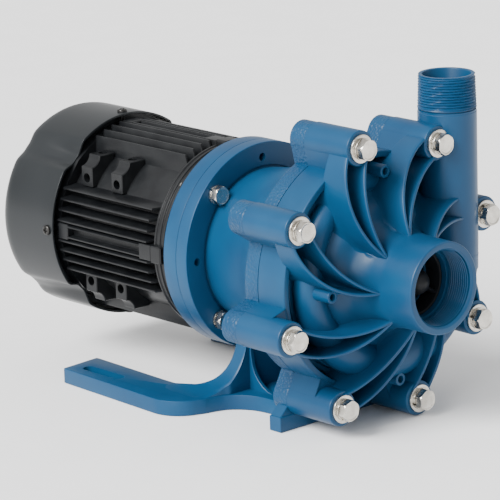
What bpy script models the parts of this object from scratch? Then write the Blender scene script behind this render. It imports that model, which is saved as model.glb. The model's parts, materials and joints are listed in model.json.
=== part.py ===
"""Centrifugal water pump with a magnetic drive, bolted to a small fan-cooled C-face motor.

Frame: the origin is on the foot's underside, below the shaft axis, at the joint between the casing
and the motor adapter. The shaft lies along Y, the suction port faces -Y, the discharge points up +Z.
The numbers below are millimetres, and MM turns them into Blender's metres.
"""

import math

import bmesh
import bpy
from mathutils import Matrix, Vector

MM = 0.001
MERGE = 0.00001
GAP = 0.3                      # space left between pieces that touch
QUARTER_TURN = math.pi / 2

# Driving dimensions: the shaft line and the ports
SHAFT_HEIGHT = 124.0
SUCTION_FACE = -109.3
SUCTION_RADIUS = 37.4          # outside of the suction boss
SUCTION_BORE = 30.8            # mouth of the 2 inch female pipe thread
SOCKET_BACK = -84.0            # where the threaded socket ends
DISCHARGE_X = 81.7
DISCHARGE_Y = -35.0
DISCHARGE_RADIUS = 24.13       # 1-1/2 inch male pipe thread
DISCHARGE_BORE = 19.5
DISCHARGE_TOP = SHAFT_HEIGHT + 149.7
PIPE_FOOT = 150.0              # where the pipe's own node starts, above the volute

# Casing and its eight bolts
RIM_RADIUS = 98.0
RIM_FRONT = -30.0
BOLT_CIRCLE = 113.0
BOSS_RADIUS = 14.5
BOSS_FACE = -49.0
BOSS_BACK = -0.1               # just short of the joint, so that only the rim touches it
BOSS_ANGLES = [105.5 - 45.0 * k for k in range(8)]
BOLT_HOLE = 5.4
BOLT_RADIUS = 5.0
BOLT_END = 14.0
BOLT_HEAD_FRONT = -59.5
BOLT_HEAD_BACK = -51.5
BOLT_ACROSS_FLATS = 16.0
WASHER_FRONT = -51.2
WASHER_RADIUS = 11.5
RIB_THICKNESS = 2.8
RIB_SWIRL = 34.0               # degrees from a boss to the tip of its two ribs on the hub
RIB_TIP_RADIUS = 36.0
RIB_TIP_FRONT = -76.0

# Motor adapter, its rear flange and the ring against the motor's C-face
STUB_RADIUS = 13.9
STUB_FRONT = 0.4
STUB_BACK = 17.0
ADAPTER_FLANGE = 86.9
FLANGE_FRONT = 97.8
FLANGE_BACK = 110.3
RING_BACK = 125.6
MOTOR_FACE = 125.9
FACE_BOLT_CIRCLE = 74.6        # 5.875 inch bolt circle of a 56C face
FACE_BOLT_RADIUS = 4.7
FACE_BOLT_HOLE = 5.1
FACE_BOLT_END = 138.0

# Motor
FRAME_FRONT = 146.3
FRAME_BACK = 267.0
FRAME_RADIUS = 70.0
FIN_RADIUS = 83.0
FIN_PITCH = 8.75
FIN_THICKNESS = 2.6
PAD_STATIONS = (209.5, 248.0)  # the two pairs of mounting pads along the frame
COWL_FRONT = 267.3
COWL_BACK = 337.0
COWL_RADIUS = 88.0
COWL_WALL = 2.2
COWL_DIP = 5.0                 # how far the cowl dips in at its four corners
SHAFT_TIP = 73.4
SHAFT_TAIL = 306.0

# Foot
FOOT_THICKNESS = 12.5
WALL_FRONT = 78.0              # front of the upright wall between the foot's two arms
WALL_SWEEP = 50.0              # radius by which the wall's ends run down into the arms
WALL_SWEEP_X = 90.0
PEDESTAL_TOP = 72.0            # above the bell, which trims it
SLOT_X, SLOT_NEAR, SLOT_FAR, SLOT_HALF = 90.0, 185.0, 223.0, 5.2
FOOT_BOLT_X = 18.0
FOOT_BOLT_Y = 28.0


# ---------------------------------------------------------------- building tools

def clear_scene():
    for obj in list(bpy.data.objects):
        bpy.data.objects.remove(obj, do_unlink=True)


def new_collection(name):
    made = bpy.data.collections.new(name)
    bpy.context.scene.collection.children.link(made)
    return made


def material(name, colour, roughness, metallic=0.0):
    made = bpy.data.materials.new(name)
    made.use_nodes = True
    shader = made.node_tree.nodes["Principled BSDF"]
    shader.inputs["Base Color"].default_value = (*colour, 1.0)
    shader.inputs["Roughness"].default_value = roughness
    shader.inputs["Metallic"].default_value = metallic
    return made


def place(name, mesh, matrix=None):
    """Links a mesh as an object of the pump."""
    made = bpy.data.objects.new(name, mesh)
    parts.objects.link(made)
    if matrix is not None:
        made.matrix_world = matrix
    return made


def as_tool(obj):
    """Moves an object to the cutters: it shapes another piece and isn't one itself."""
    parts.objects.unlink(obj)
    cutters.objects.link(obj)
    obj.hide_render = True
    obj.display_type = "WIRE"
    return obj


def boolean(target, tool, operation):
    step = target.modifiers.new(operation.title(), "BOOLEAN")
    step.operation = operation
    step.solver = "EXACT"
    step.object = tool
    as_tool(tool)


def join(target, *tools):
    for tool in tools:
        boolean(target, tool, "UNION")


def cut(target, *tools):
    for tool in tools:
        boolean(target, tool, "DIFFERENCE")


def along_shaft(x=0.0, z=SHAFT_HEIGHT):
    """Frame whose local Z runs along the shaft, +Y, through (x, z)."""
    return Matrix.Translation((x * MM, 0.0, z * MM)) @ Matrix.Rotation(-math.pi / 2, 4, "X")


def upright(x, y):
    return Matrix.Translation((x * MM, y * MM, 0.0))


def turned(name, outline, steps=24, matrix=None):
    """A closed (radius, station) outline spun round local Z. Without a matrix it is on the shaft."""
    area = sum(a[0] * b[1] - b[0] * a[1] for a, b in zip(outline, outline[1:] + outline[:1]))
    if area > 0:
        outline = outline[::-1]
    shape = bmesh.new()
    points = [shape.verts.new((r * MM, 0.0, t * MM)) for r, t in outline]
    on_axis = outline[0][0] == 0.0 and outline[-1][0] == 0.0
    for i in range(len(points) - (1 if on_axis else 0)):
        shape.edges.new((points[i], points[(i + 1) % len(points)]))
    mesh = bpy.data.meshes.new(name)
    shape.to_mesh(mesh)
    shape.free()
    made = place(name, mesh, matrix or along_shaft())
    spin = made.modifiers.new("Screw", "SCREW")
    spin.steps = spin.render_steps = steps
    spin.use_merge_vertices = True
    spin.merge_threshold = MERGE
    return made


def rod(name, radius, start, end, steps=16, matrix=None):
    return turned(name, [(0.0, end), (radius, end), (radius, start), (0.0, start)], steps, matrix)


def sleeve(name, inner, outer, start, end, steps=32, matrix=None):
    outline = [(outer, end), (outer, start), (inner, start), (inner, end)]
    return turned(name, outline, steps, matrix)


def block(name, low, high, matrix=None):
    """A box from its low to its high corner."""
    shape = bmesh.new()
    bmesh.ops.create_cube(shape, size=1.0)
    size = [(h - l) * MM for l, h in zip(low, high)]
    centre = [(h + l) / 2 * MM for l, h in zip(low, high)]
    bmesh.ops.scale(shape, vec=size, verts=shape.verts)
    bmesh.ops.translate(shape, vec=centre, verts=shape.verts)
    mesh = bpy.data.meshes.new(name)
    shape.to_mesh(mesh)
    shape.free()
    return place(name, mesh, matrix)


def plate(name, outline, low, high, matrix=None):
    """A flat outline in local XY, pushed from height low to height high."""
    shape = bmesh.new()
    face = shape.faces.new([shape.verts.new((x * MM, y * MM, low * MM)) for x, y in outline])
    pushed = bmesh.ops.extrude_face_region(shape, geom=[face])["geom"]
    top = [item for item in pushed if isinstance(item, bmesh.types.BMVert)]
    bmesh.ops.translate(shape, vec=(0.0, 0.0, (high - low) * MM), verts=top)
    bmesh.ops.recalc_face_normals(shape, faces=shape.faces)
    mesh = bpy.data.meshes.new(name)
    shape.to_mesh(mesh)
    shape.free()
    return place(name, mesh, matrix)


def profile_along_shaft(name, outline, start, end):
    """An outline in the plane across the shaft, as (x, height above the shaft), from start to end."""
    return plate(name, [(x, -z) for x, z in outline], start, end, along_shaft())


def settled(obj):
    """The object's finished mesh, with its modifiers applied, and the unfinished object removed."""
    bpy.context.view_layer.update()
    graph = bpy.context.evaluated_depsgraph_get()
    mesh = bpy.data.meshes.new_from_object(obj.evaluated_get(graph))
    mesh.transform(obj.matrix_world)
    bpy.data.objects.remove(obj, do_unlink=True)
    return mesh


def polar(radius, degrees):
    angle = math.radians(degrees)
    return radius * math.cos(angle), radius * math.sin(angle)


def at_shaft_angle(radius, degrees):
    """Frame along the shaft through the point at this radius and angle from it.

    It is turned a little, so that no edge of a hole lies on an edge of what it is cut from.
    """
    x, z = polar(radius, degrees)
    return along_shaft(x, SHAFT_HEIGHT + z) @ Matrix.Rotation(math.radians(10.0), 4, "Z")


def arc(centre, radius, start, end, steps):
    """Points of an arc in degrees, both ends included."""
    return [tuple(c + p for c, p in zip(centre, polar(radius, start + (end - start) * i / steps)))
            for i in range(steps + 1)]


def finish(obj, look):
    obj.data.materials.clear()
    obj.data.materials.append(look)
    obj.data.shade_smooth()
    obj.data.set_sharp_from_angle(angle=math.radians(35))
    return obj


# ---------------------------------------------------------------- fasteners

def hex_bolt_mesh(name, across_flats, head_front, head_back, shank_radius, end):
    head = rod(name, across_flats / math.sqrt(3), head_front, head_back, 6, along_shaft(0, 0))
    join(head, rod(name + "_shank", shank_radius, head_back - 1.0, end, 10, along_shaft(0, 0)))
    return settled(head)


def build_casing_bolts():
    bolt = hex_bolt_mesh("casing_bolt", BOLT_ACROSS_FLATS, BOLT_HEAD_FRONT, BOLT_HEAD_BACK,
                         BOLT_RADIUS, BOLT_END)
    ring = settled(sleeve("casing_washer", BOLT_HOLE, WASHER_RADIUS, WASHER_FRONT,
                          BOSS_FACE - GAP, 12, along_shaft(0, 0)))
    for number, angle in enumerate(BOSS_ANGLES, start=1):
        x, z = polar(BOLT_CIRCLE, angle)
        spot = Matrix.Translation((x * MM, 0.0, (SHAFT_HEIGHT + z) * MM))
        finish(place(f"casing_bolt_{number}", bolt, spot), stainless)
        finish(place(f"casing_washer_{number}", ring, spot), stainless)


def build_adapter_bolts():
    bolt = hex_bolt_mesh("adapter_bolt", 14.3, FLANGE_FRONT - 9.0, FLANGE_FRONT - GAP,
                         FACE_BOLT_RADIUS, FACE_BOLT_END)
    for number, angle in enumerate((45, 135, 225, 315), start=1):
        x, z = polar(FACE_BOLT_CIRCLE, angle)
        spot = Matrix.Translation((x * MM, 0.0, (SHAFT_HEIGHT + z) * MM))
        finish(place(f"adapter_bolt_{number}", bolt, spot), stainless)


# ---------------------------------------------------------------- pump head

def rib(name, angle, side):
    """A thin upright web on a circular arc from one side of a boss to the hub.

    The rib on the swirl side reaches the hub radially, the other one turned 25 degrees from it.
    """
    start = Vector(polar(BOLT_CIRCLE - 4.0, angle)) + Vector(polar(BOSS_RADIUS - 2.0, angle + 90 * side))
    tip = Vector(polar(RIB_TIP_RADIUS, angle + RIB_SWIRL))
    chord = tip - start
    chord_angle = math.atan2(chord.y, chord.x)
    end_angle = math.radians(angle + RIB_SWIRL + (180.0 if side > 0 else 155.0))
    half_turn = (end_angle - chord_angle + math.pi) % (2 * math.pi) - math.pi
    steps = 4
    shape = bmesh.new()
    rows = []
    for i in range(steps + 1):
        t = i / steps
        reach = chord.length * math.sin(t * half_turn) / math.sin(half_turn)
        lean = chord_angle + (t - 1) * half_turn
        middle = start + Vector((reach * math.cos(lean), reach * math.sin(lean)))
        heading = chord_angle + (2 * t - 1) * half_turn
        across = Vector((-math.sin(heading), math.cos(heading))) * RIB_THICKNESS / 2
        front = BOSS_FACE + (RIB_TIP_FRONT - BOSS_FACE) * t ** 1.2
        back = min(-15.0, -45.0 + 0.07 * max(0.0, middle.length - 70.0) ** 2)
        row = []
        for sideways, station in ((1, front), (-1, front), (-1, back), (1, back)):
            point = middle + across * sideways
            row.append(shape.verts.new((point.x * MM, station * MM, (SHAFT_HEIGHT + point.y) * MM)))
        rows.append(row)
    for a, b in zip(rows, rows[1:]):
        for k in range(4):
            shape.faces.new((a[k], a[(k + 1) % 4], b[(k + 1) % 4], b[k]))
    shape.faces.new(rows[0])
    shape.faces.new(rows[-1])
    bmesh.ops.recalc_face_normals(shape, faces=shape.faces)
    mesh = bpy.data.meshes.new(name)
    shape.to_mesh(mesh)
    shape.free()
    return place(name, mesh)


def boss_lobe(name, angle, radius, start, end):
    """A bolt boss: round outside, with straight sides that run in to the rim."""
    outline = arc(polar(BOLT_CIRCLE, angle), radius, angle - 90, angle + 90, 4)
    inward = Vector(polar(BOLT_CIRCLE - RIM_RADIUS + 5.0, angle))
    outline += [(outline[-1][0] - inward.x, outline[-1][1] - inward.y),
                (outline[0][0] - inward.x, outline[0][1] - inward.y)]
    return profile_along_shaft(name, outline, start, end)


def bolt_hole(number):
    """Clearance for a casing bolt and, in front of the boss's face, for its washer and head."""
    return turned(f"bolt_hole_{number}", [
        (0.0, 5.0), (BOLT_HOLE, 5.0), (BOLT_HOLE, BOSS_FACE), (WASHER_RADIUS + 1.0, BOSS_FACE),
        (WASHER_RADIUS + 1.0, -80.0), (0.0, -80.0)], 10,
        at_shaft_angle(BOLT_CIRCLE, BOSS_ANGLES[number - 1]))


def build_front_casing():
    wall = [(RIM_RADIUS, 0.0), (RIM_RADIUS, RIM_FRONT), (92.0, RIM_FRONT), (92.0, -10.0), (88.0, -10.0)]
    wall += arc((66.0, -26.0), 22.0, 0, -110, 4)
    wall += [(46.0, -54.0), (40.0, -66.0), (SUCTION_RADIUS, -78.0), (SUCTION_RADIUS, SOCKET_BACK + GAP)]
    hollow = [(28.0, SOCKET_BACK + GAP), (28.0, -64.0),
              (24.0, -64.0), (24.0, -46.0), (56.0, -42.0)]
    hollow += arc((66.0, -25.0), 17.0, -90, 0, 2)
    hollow += [(83.0, -12.0), (74.0, -7.0), (80.3, -7.0), (80.3, 0.0)]
    casing = turned("front_casing", wall + hollow, 32)
    for number, angle in enumerate(BOSS_ANGLES, start=1):
        join(casing, boss_lobe(f"boss_{number}", angle, BOSS_RADIUS, BOSS_FACE, BOSS_BACK))
    for number, angle in enumerate(BOSS_ANGLES, start=1):
        for side in (-1, 1):
            join(casing, rib(f"rib_{number}_{side}", angle, side))
    discharge = upright(DISCHARGE_X, DISCHARGE_Y)
    join(casing, turned("volute_outlet", [
        (0.0, PIPE_FOOT + 5.0), (DISCHARGE_RADIUS, PIPE_FOOT + 5.0), (DISCHARGE_RADIUS, 112.0),
        (17.0, 100.0), (0.0, 96.0)], 20, discharge))
    for number, (x, z) in enumerate(((-71.0, -2.0), (13.0, -90.0), (2.0, 84.0)), start=1):
        join(casing, rod(f"pilot_boss_{number}", 5.6, -56.0, -12.0, 12, along_shaft(x, SHAFT_HEIGHT + z)))
    cut(casing, rod("discharge_bore", DISCHARGE_BORE, 122.0, PIPE_FOOT + 10.0, 20, discharge))
    cut(casing, rod("pipe_room", DISCHARGE_RADIUS + 2 * GAP, PIPE_FOOT, DISCHARGE_TOP + 10.0, 20, discharge))
    room = [(0.0, -41.5), (56.0, -41.5)] + arc((66.0, -25.0), 16.7, -90, 0, 2)
    room += [(82.7, -12.0), (74.0, -7.5), (0.0, -7.5)]
    cut(casing, turned("volute_room", room, 32))
    for number in range(1, 9):
        cut(casing, bolt_hole(number))
    return finish(casing, blue_plastic)


def build_ports():
    """The suction socket and the discharge pipe: moulded with the casing, and nodes of their own, so that
    each is a plain tube that stays open."""
    socket = sleeve("suction_socket", SUCTION_BORE, SUCTION_RADIUS, SUCTION_FACE, SOCKET_BACK, 32)
    finish(socket, blue_plastic)
    pipe = turned("discharge_pipe", [
        (DISCHARGE_BORE, DISCHARGE_TOP), (22.7, DISCHARGE_TOP), (DISCHARGE_RADIUS, DISCHARGE_TOP - 2.5),
        (DISCHARGE_RADIUS, PIPE_FOOT + GAP), (DISCHARGE_BORE, PIPE_FOOT + GAP)], 20,
        upright(DISCHARGE_X, DISCHARGE_Y))
    for number in (2, 3):
        cut(pipe, bolt_hole(number))
    finish(pipe, blue_plastic)


def build_shaft_support():
    """A three-armed spider in the suction passage that holds the front end of the ceramic shaft."""
    support = sleeve("shaft_support", 25.0, 27.7, -80.0, -64.3, 32)
    for number, angle in enumerate((90, 210, 330), start=1):
        arm = block(f"spider_arm_{number}", (9.5, -2.0, -79.0), (26.0, 2.0, -66.0),
                    along_shaft() @ Matrix.Rotation(math.radians(angle), 4, "Z"))
        join(support, arm)
    join(support, turned("spider_hub", [
        (0.0, -90.0), (6.0, -88.0), (11.5, -80.0), (11.5, -64.3), (8.3, -64.3), (8.3, -74.0),
        (0.0, -74.0)], 24))
    return finish(support, dark_plastic)


def build_impeller():
    """Closed impeller: an eye ring and front shroud, five swept vanes, and a back shroud with its hub."""
    hub = turned("impeller", [
        (55.0, -22.0), (55.0, -18.0), (30.0, -15.0), (22.0, -10.0), (22.0, 3.0), (12.4, 3.0),
        (12.4, -58.0), (15.5, -58.0), (17.0, -38.0), (30.0, -24.0)], 24)
    vane_steps = 3
    for number in range(5):
        outline = []
        for thickness in (1.6, -1.6):
            line = []
            for i in range(vane_steps + 1):
                t = i / vane_steps
                radius = 24.0 + 30.0 * t
                turn = 72.0 * number + 62.0 * t
                x, z = polar(radius, turn)
                dx, dz = polar(thickness, turn + 25.0)
                line.append((x + dx, z + dz))
            outline += line if thickness > 0 else line[::-1]
        join(hub, profile_along_shaft(f"vane_{number}", outline, -38.5, -20.0))
    join(hub, turned("front_shroud", [
        (54.5, -39.6), (54.5, -37.0), (23.0, -37.0), (20.0, -42.0), (20.0, -54.0), (23.2, -54.0),
        (23.2, -43.5), (30.0, -41.0)], 24))
    return finish(hub, dark_plastic)


def build_wet_end():
    """What turns and what stands inside the sealed can, and the O-ring round it."""
    build_impeller()
    finish(sleeve("impeller_bushing", 8.3, 12.1, -63.8, 2.7, 24), carbon)
    finish(sleeve("inner_magnet", 9.2, 36.0, 3.3, 54.0, 24), dark_plastic)
    finish(rod("pump_shaft", 8.0, -73.7, 59.7, 24), ceramic)
    finish(turned("barrier", [
        (0.0, 60.0), (8.3, 60.0), (8.3, 55.5), (14.0, 55.5), (14.0, 58.0), (38.0, 58.0), (38.0, -3.7),
        (79.3, -3.7), (79.3, 5.0), (40.3, 5.0), (40.3, 62.0), (0.0, 62.0)], 24), blue_plastic)
    finish(turned("casing_o_ring", arc((77.3, -5.35), 1.35, 0, 315, 7), 24), rubber)


# ---------------------------------------------------------------- adapter and foot

def build_adapter():
    adapter = turned("motor_adapter", [
        (RIM_RADIUS, GAP), (RIM_RADIUS, 15.0), (90.0, 20.0), (77.0, 42.0), (69.0, 68.0),
        (65.0, FLANGE_FRONT), (ADAPTER_FLANGE, FLANGE_FRONT), (ADAPTER_FLANGE, FLANGE_BACK),
        (60.0, FLANGE_BACK), (60.0, 68.0), (70.0, 42.0), (74.0, 20.0), (74.0, 5.3), (80.6, 5.3),
        (80.6, GAP)], 32)
    for number, angle in enumerate(BOSS_ANGLES, start=1):
        join(adapter, boss_lobe(f"stub_{number}", angle, STUB_RADIUS, STUB_FRONT, STUB_BACK))
    for number, angle in enumerate(BOSS_ANGLES, start=1):
        cut(adapter, rod(f"insert_hole_{number}", BOLT_HOLE, -5.0, BOLT_END + 0.7, 10,
                         at_shaft_angle(BOLT_CIRCLE, angle)))
    for number in range(8):
        cut(adapter, rod(f"flange_hole_{number}", FACE_BOLT_HOLE, 90.0, 115.0, 10,
                         at_shaft_angle(FACE_BOLT_CIRCLE, 45.0 * number)))
    for number, x in enumerate((-FOOT_BOLT_X, FOOT_BOLT_X), start=1):
        cut(adapter, rod(f"foot_thread_{number}", 4.3, 30.0, 49.0, 12, upright(x, FOOT_BOLT_Y)))
    finish(adapter, blue_plastic)
    ring = sleeve("adapter_ring", 57.5, ADAPTER_FLANGE, FLANGE_BACK + GAP, RING_BACK, 32)
    for number, angle in enumerate((45, 135, 225, 315), start=1):
        cut(ring, rod(f"ring_hole_{number}", FACE_BOLT_HOLE, 105.0, 130.0, 10,
                      at_shaft_angle(FACE_BOLT_CIRCLE, angle)))
    finish(ring, blue_plastic)


def foot_outline():
    """Half of the foot seen from above, from the front middle round to the middle of the crotch."""
    half = [(77.0, 0.6), (77.0, 13.5), (60.0, 15.0), (49.0, 27.0), (47.5, 46.0), (48.5, 58.0)]
    half += [(54.0, 70.5), (64.0, 79.5), (78.0, 84.0)]
    half += arc((80.5, 116.0), 30.0, -78, 3, 7)
    half += [(104.0, 240.0), (64.5, 243.0), (68.5, 150.0)]
    half += arc((39.0, 120.5), 30.0, 0, -90, 6)
    return half


def build_foot_wall():
    """The wall that carries the bell: its ends sweep down, in concave arcs, into the tops of the arms."""
    half = [(60.5, WALL_FRONT), (63.5, 80.2), (77.5, 84.7), (86.0, 87.0), (86.0, 139.0), (69.4, 139.0)]
    half += arc((39.0, 120.5), 30.4, 0, -90, 6)
    outline = half + [(-x, y) for x, y in reversed(half)]
    wall = plate("foot_wall", outline, 6.0, PEDESTAL_TOP)
    low, high = FOOT_THICKNESS - 0.4, PEDESTAL_TOP + 5.0
    across = Matrix(((0, 0, 1, 0), (1, 0, 0, 0), (0, 1, 0, 0), (0, 0, 0, 1)))
    behind = arc((145.0, FOOT_THICKNESS + 45.0), 45.0, 180, 262, 7)
    behind += [(150.0, low), (150.0, high), (100.0, high)]
    cut(wall, plate("wall_back_sweep", behind, -95.0, 95.0, across))
    for number, sign in enumerate((-1, 1), start=1):
        side = arc((WALL_SWEEP_X, FOOT_THICKNESS + WALL_SWEEP), WALL_SWEEP, 180, 264, 9)
        side += [(95.0, low), (95.0, high), (WALL_SWEEP_X - WALL_SWEEP, high)]
        side = [(sign * x, -z) for x, z in side]
        cut(wall, plate(f"wall_end_sweep_{number}", side, 60.0, 160.0, along_shaft(0.0, 0.0)))
    return wall


def build_foot():
    half = foot_outline()
    outline = half + [(-x, y) for x, y in reversed(half)]
    foot = plate("support_foot", outline, 0.0, FOOT_THICKNESS)
    join(foot, build_foot_wall())
    join(foot, plate("front_web", [
        (-76.0, -8.0), (76.0, -8.0), (76.0, -12.9), (61.0, -27.0), (61.0, -45.0), (-61.0, -45.0),
        (-61.0, -27.0), (-76.0, -12.9)], 2.0, 13.0, along_shaft(0.0, 0.0)))
    join(foot, block("middle_web", (-3.0, 12.0, 8.0), (3.0, WALL_FRONT + 2.0, PEDESTAL_TOP - 2.0)))
    across = Matrix(((0, 0, 1, 0), (1, 0, 0, 0), (0, 1, 0, 0), (0, 0, 0, 1)))
    for number, sign in enumerate((-1, 1), start=1):
        gusset = [(80.0, 8.0), (80.0, 63.0), (76.6, 63.0), (76.4, 36.0), (73.5, 28.0), (69.0, 21.5),
                  (62.0, 15.8), (52.0, 12.2), (50.0, 8.0)]
        inner, outer = sorted((sign * 34.6, sign * 38.4))
        join(foot, plate(f"gusset_{number}", gusset, inner, outer, across))
        join(foot, rod(f"foot_bolt_post_{number}", 10.0, 8.0, 45.0, 16,
                       upright(sign * FOOT_BOLT_X, FOOT_BOLT_Y)))
        near_end, far_end = ((sign * SLOT_X, y) for y in (SLOT_NEAR, SLOT_FAR))
        slot = arc(near_end, SLOT_HALF, 180, 360, 6) + arc(far_end, SLOT_HALF, 0, 180, 6)
        cut(foot, plate(f"slot_{number}", slot, -5.0, 20.0))
    room = turned("bell_room", [
        (0.0, -5.0), (RIM_RADIUS + GAP, -5.0), (RIM_RADIUS + GAP, 15.5), (90.6, 20.6), (77.6, 42.6),
        (69.6, 68.0), (65.9, 95.0), (0.0, 95.0)], 32)
    cut(foot, room)
    for number in (4, 5, 6):
        cut(foot, boss_lobe(f"stub_room_{number}", BOSS_ANGLES[number], BOSS_RADIUS + GAP, -5.0,
                            STUB_BACK + GAP))
    for number, x in enumerate((-FOOT_BOLT_X, FOOT_BOLT_X), start=1):
        line = upright(x, FOOT_BOLT_Y) @ Matrix.Rotation(math.radians(10.0), 4, "Z")
        cut(foot, turned(f"foot_bolt_hole_{number}", [
            (0.0, 60.0), (4.3, 60.0), (4.3, 12.0), (8.5, 12.0), (8.5, -5.0), (0.0, -5.0)], 12, line))
        bolt = rod(f"foot_bolt_{number}", 13.0 / math.sqrt(3), 5.0, 11.7, 6, line)
        join(bolt, rod(f"foot_shank_{number}", 4.0, 11.0, 48.0, 12, line))
        finish(bolt, stainless)
    return finish(foot, blue_plastic)


# ---------------------------------------------------------------- motor

def build_motor_frame():
    """Cast tube with straight fins on four sides and stepped mounting pads at its four corners."""
    frame = sleeve("motor_frame", 64.0, FRAME_RADIUS, FRAME_FRONT, FRAME_BACK, 32)
    for quarter in range(4):
        turn = along_shaft() @ Matrix.Rotation(quarter * QUARTER_TURN, 4, "Z")
        for step in range(-4, 5):
            offset = step * FIN_PITCH
            half = FIN_THICKNESS / 2 if step else 6.4
            reach = math.sqrt(FIN_RADIUS ** 2 - (abs(offset) + half) ** 2)
            root = 54.0 if abs(step) > 3 else 62.0 + abs(step)
            join(frame, block(f"fin_{quarter}_{step}", (offset - half, root, FRAME_FRONT + 2.0),
                              (offset + half, reach, FRAME_BACK), turn))
        for number, station in enumerate(PAD_STATIONS):
            pad = [(42.0, 42.0), (63.5, 37.0), (63.5, 54.5)]
            pad += arc((63.5, 63.5), 9.0, 250, 200, 3) + [(54.5, 63.5), (37.0, 63.5)]
            join(frame, plate(f"pad_{quarter}_{number}", pad, station - 7.0, station + 7.0, turn))
    cut(frame, rod("frame_bore", 64.0, FRAME_FRONT - 5.0, FRAME_BACK + 5.0, 32))
    for quarter in range(4):
        cut(frame, rod(f"shield_screw_hole_{quarter}", 2.9, FRAME_FRONT - 5.0, 161.0, 10,
                       at_shaft_angle(76.0, 90.0 * quarter)))
    return finish(frame, black_metal)


def build_end_shields():
    front = turned("front_end_shield", [
        (12.0, 122.0), (57.1, 122.0), (57.1, MOTOR_FACE), (82.0, MOTOR_FACE), (82.0, 131.0),
        (80.0, 132.0), (80.0, 146.0), (63.7, 146.0), (63.7, 148.5), (61.0, 148.5), (61.0, 135.0),
        (32.0, 133.0), (28.0, 147.0), (23.8, 147.0), (23.8, 131.7), (12.0, 131.7)], 32)
    for quarter in range(4):
        turn = along_shaft() @ Matrix.Rotation(quarter * QUARTER_TURN, 4, "Z")
        join(front, block(f"ear_{quarter}", (-7.5, 70.0, 134.0), (7.5, 84.0, 146.0), turn))
    for quarter in range(4):
        cut(front, turned(f"ear_hole_{quarter}", [
            (0.0, 150.0), (2.9, 150.0), (2.9, 137.0), (5.2, 137.0), (5.2, 132.5), (0.0, 132.5)], 8,
            at_shaft_angle(76.0, 90.0 * quarter)))
        screw = turned(f"shield_screw_{quarter + 1}", [
            (0.0, 160.0), (2.5, 160.0), (2.5, 136.7), (4.8, 136.7), (4.8, 133.2), (0.0, 133.2)], 8,
            at_shaft_angle(76.0, 90.0 * quarter))
        finish(screw, black_metal)
    for number, angle in enumerate((45, 135, 225, 315), start=1):
        cut(front, rod(f"face_hole_{number}", FACE_BOLT_HOLE, 120.0, 160.0, 10,
                       at_shaft_angle(FACE_BOLT_CIRCLE, angle)))
    finish(front, black_metal)
    rear = turned("rear_end_shield", [
        (79.0, FRAME_BACK + GAP), (79.0, 276.5), (72.0, 280.0), (26.0, 283.0), (12.0, 283.0), (12.0, 277.7),
        (23.8, 277.7), (23.8, 262.9), (28.0, 262.9), (30.0, 271.0), (60.0, 271.0),
        (60.0, FRAME_BACK + GAP)], 24)
    finish(rear, black_metal)


def build_windings():
    core = [(63.7, 245.0), (63.7, 170.0), (36.5, 170.0), (36.5, 245.0)]
    finish(turned("stator_core", core, 32), steel)
    for name, middle in (("winding_front", 160.7), ("winding_rear", 254.3)):
        ring = [(41.0, middle - 9.0), (38.5, middle - 5.0), (38.5, middle + 5.0), (41.0, middle + 9.0),
                (57.0, middle + 9.0), (60.0, middle + 5.0), (60.0, middle - 5.0), (57.0, middle - 9.0)]
        finish(turned(name, ring, 24), copper)


def build_motor_rotor():
    shaft = turned("motor_shaft", [
        (0.0, SHAFT_TIP), (6.9, SHAFT_TIP), (7.94, SHAFT_TIP + 1.0), (7.94, 128.0), (10.0, 129.0),
        (10.0, 150.0), (11.0, 151.0), (11.0, 262.0), (10.0, 263.0), (10.0, 280.0), (8.0, 281.0),
        (8.0, SHAFT_TAIL), (0.0, SHAFT_TAIL)], 32)
    cut(shaft, block("shaft_keyway", (-2.5, 78.0, SHAFT_HEIGHT + 5.2), (2.5, 112.0, SHAFT_HEIGHT + 9.0)))
    finish(shaft, steel)
    finish(sleeve("rotor_core", 11.3, 35.8, 170.0, 245.0, 24), steel)
    finish(block("drive_key", (-2.2, 79.0, SHAFT_HEIGHT + 5.5), (2.2, 106.0, SHAFT_HEIGHT + 10.0)), steel)
    magnet = turned("outer_magnet", [
        (0.0, 64.0), (42.2, 64.0), (42.2, 8.0), (56.0, 8.0), (56.0, 72.0), (20.0, 76.0), (20.0, 108.0),
        (8.25, 108.0), (8.25, 73.0), (0.0, 73.0)], 24)
    cut(magnet, block("hub_keyway", (-2.5, 77.0, SHAFT_HEIGHT + 4.0), (2.5, 112.0, SHAFT_HEIGHT + 10.3)))
    finish(magnet, dark_plastic)
    fan = turned("cooling_fan", [
        (8.3, 288.0), (8.3, 304.0), (17.0, 304.0), (19.0, 291.0), (74.0, 290.5), (74.0, 288.0)], 24)
    for number in range(8):
        turn = along_shaft() @ Matrix.Rotation(math.radians(45.0 * number + 22.5), 4, "Z")
        join(fan, block(f"fan_blade_{number}", (15.0, -1.2, 289.0), (74.0, 1.2, 314.0), turn))
    finish(fan, dark_plastic)


def build_bearings():
    for name, start in (("front_bearing", 132.0), ("rear_bearing", 263.3)):
        finish(sleeve(name, 10.3, 23.5, start, start + 14.0, 32), steel)


def cowl_outline(radius):
    """A circle that dips in at the four corners, to clear the frame's mounting pads."""
    outline = []
    for i in range(40):
        angle = 360.0 * i / 40
        from_corner = abs((angle % 90.0) - 45.0)
        dip = COWL_DIP * max(0.0, math.cos(math.radians(min(90.0, from_corner * 90.0 / 15.0))))
        outline.append(polar(radius - dip, angle))
    return outline


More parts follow.
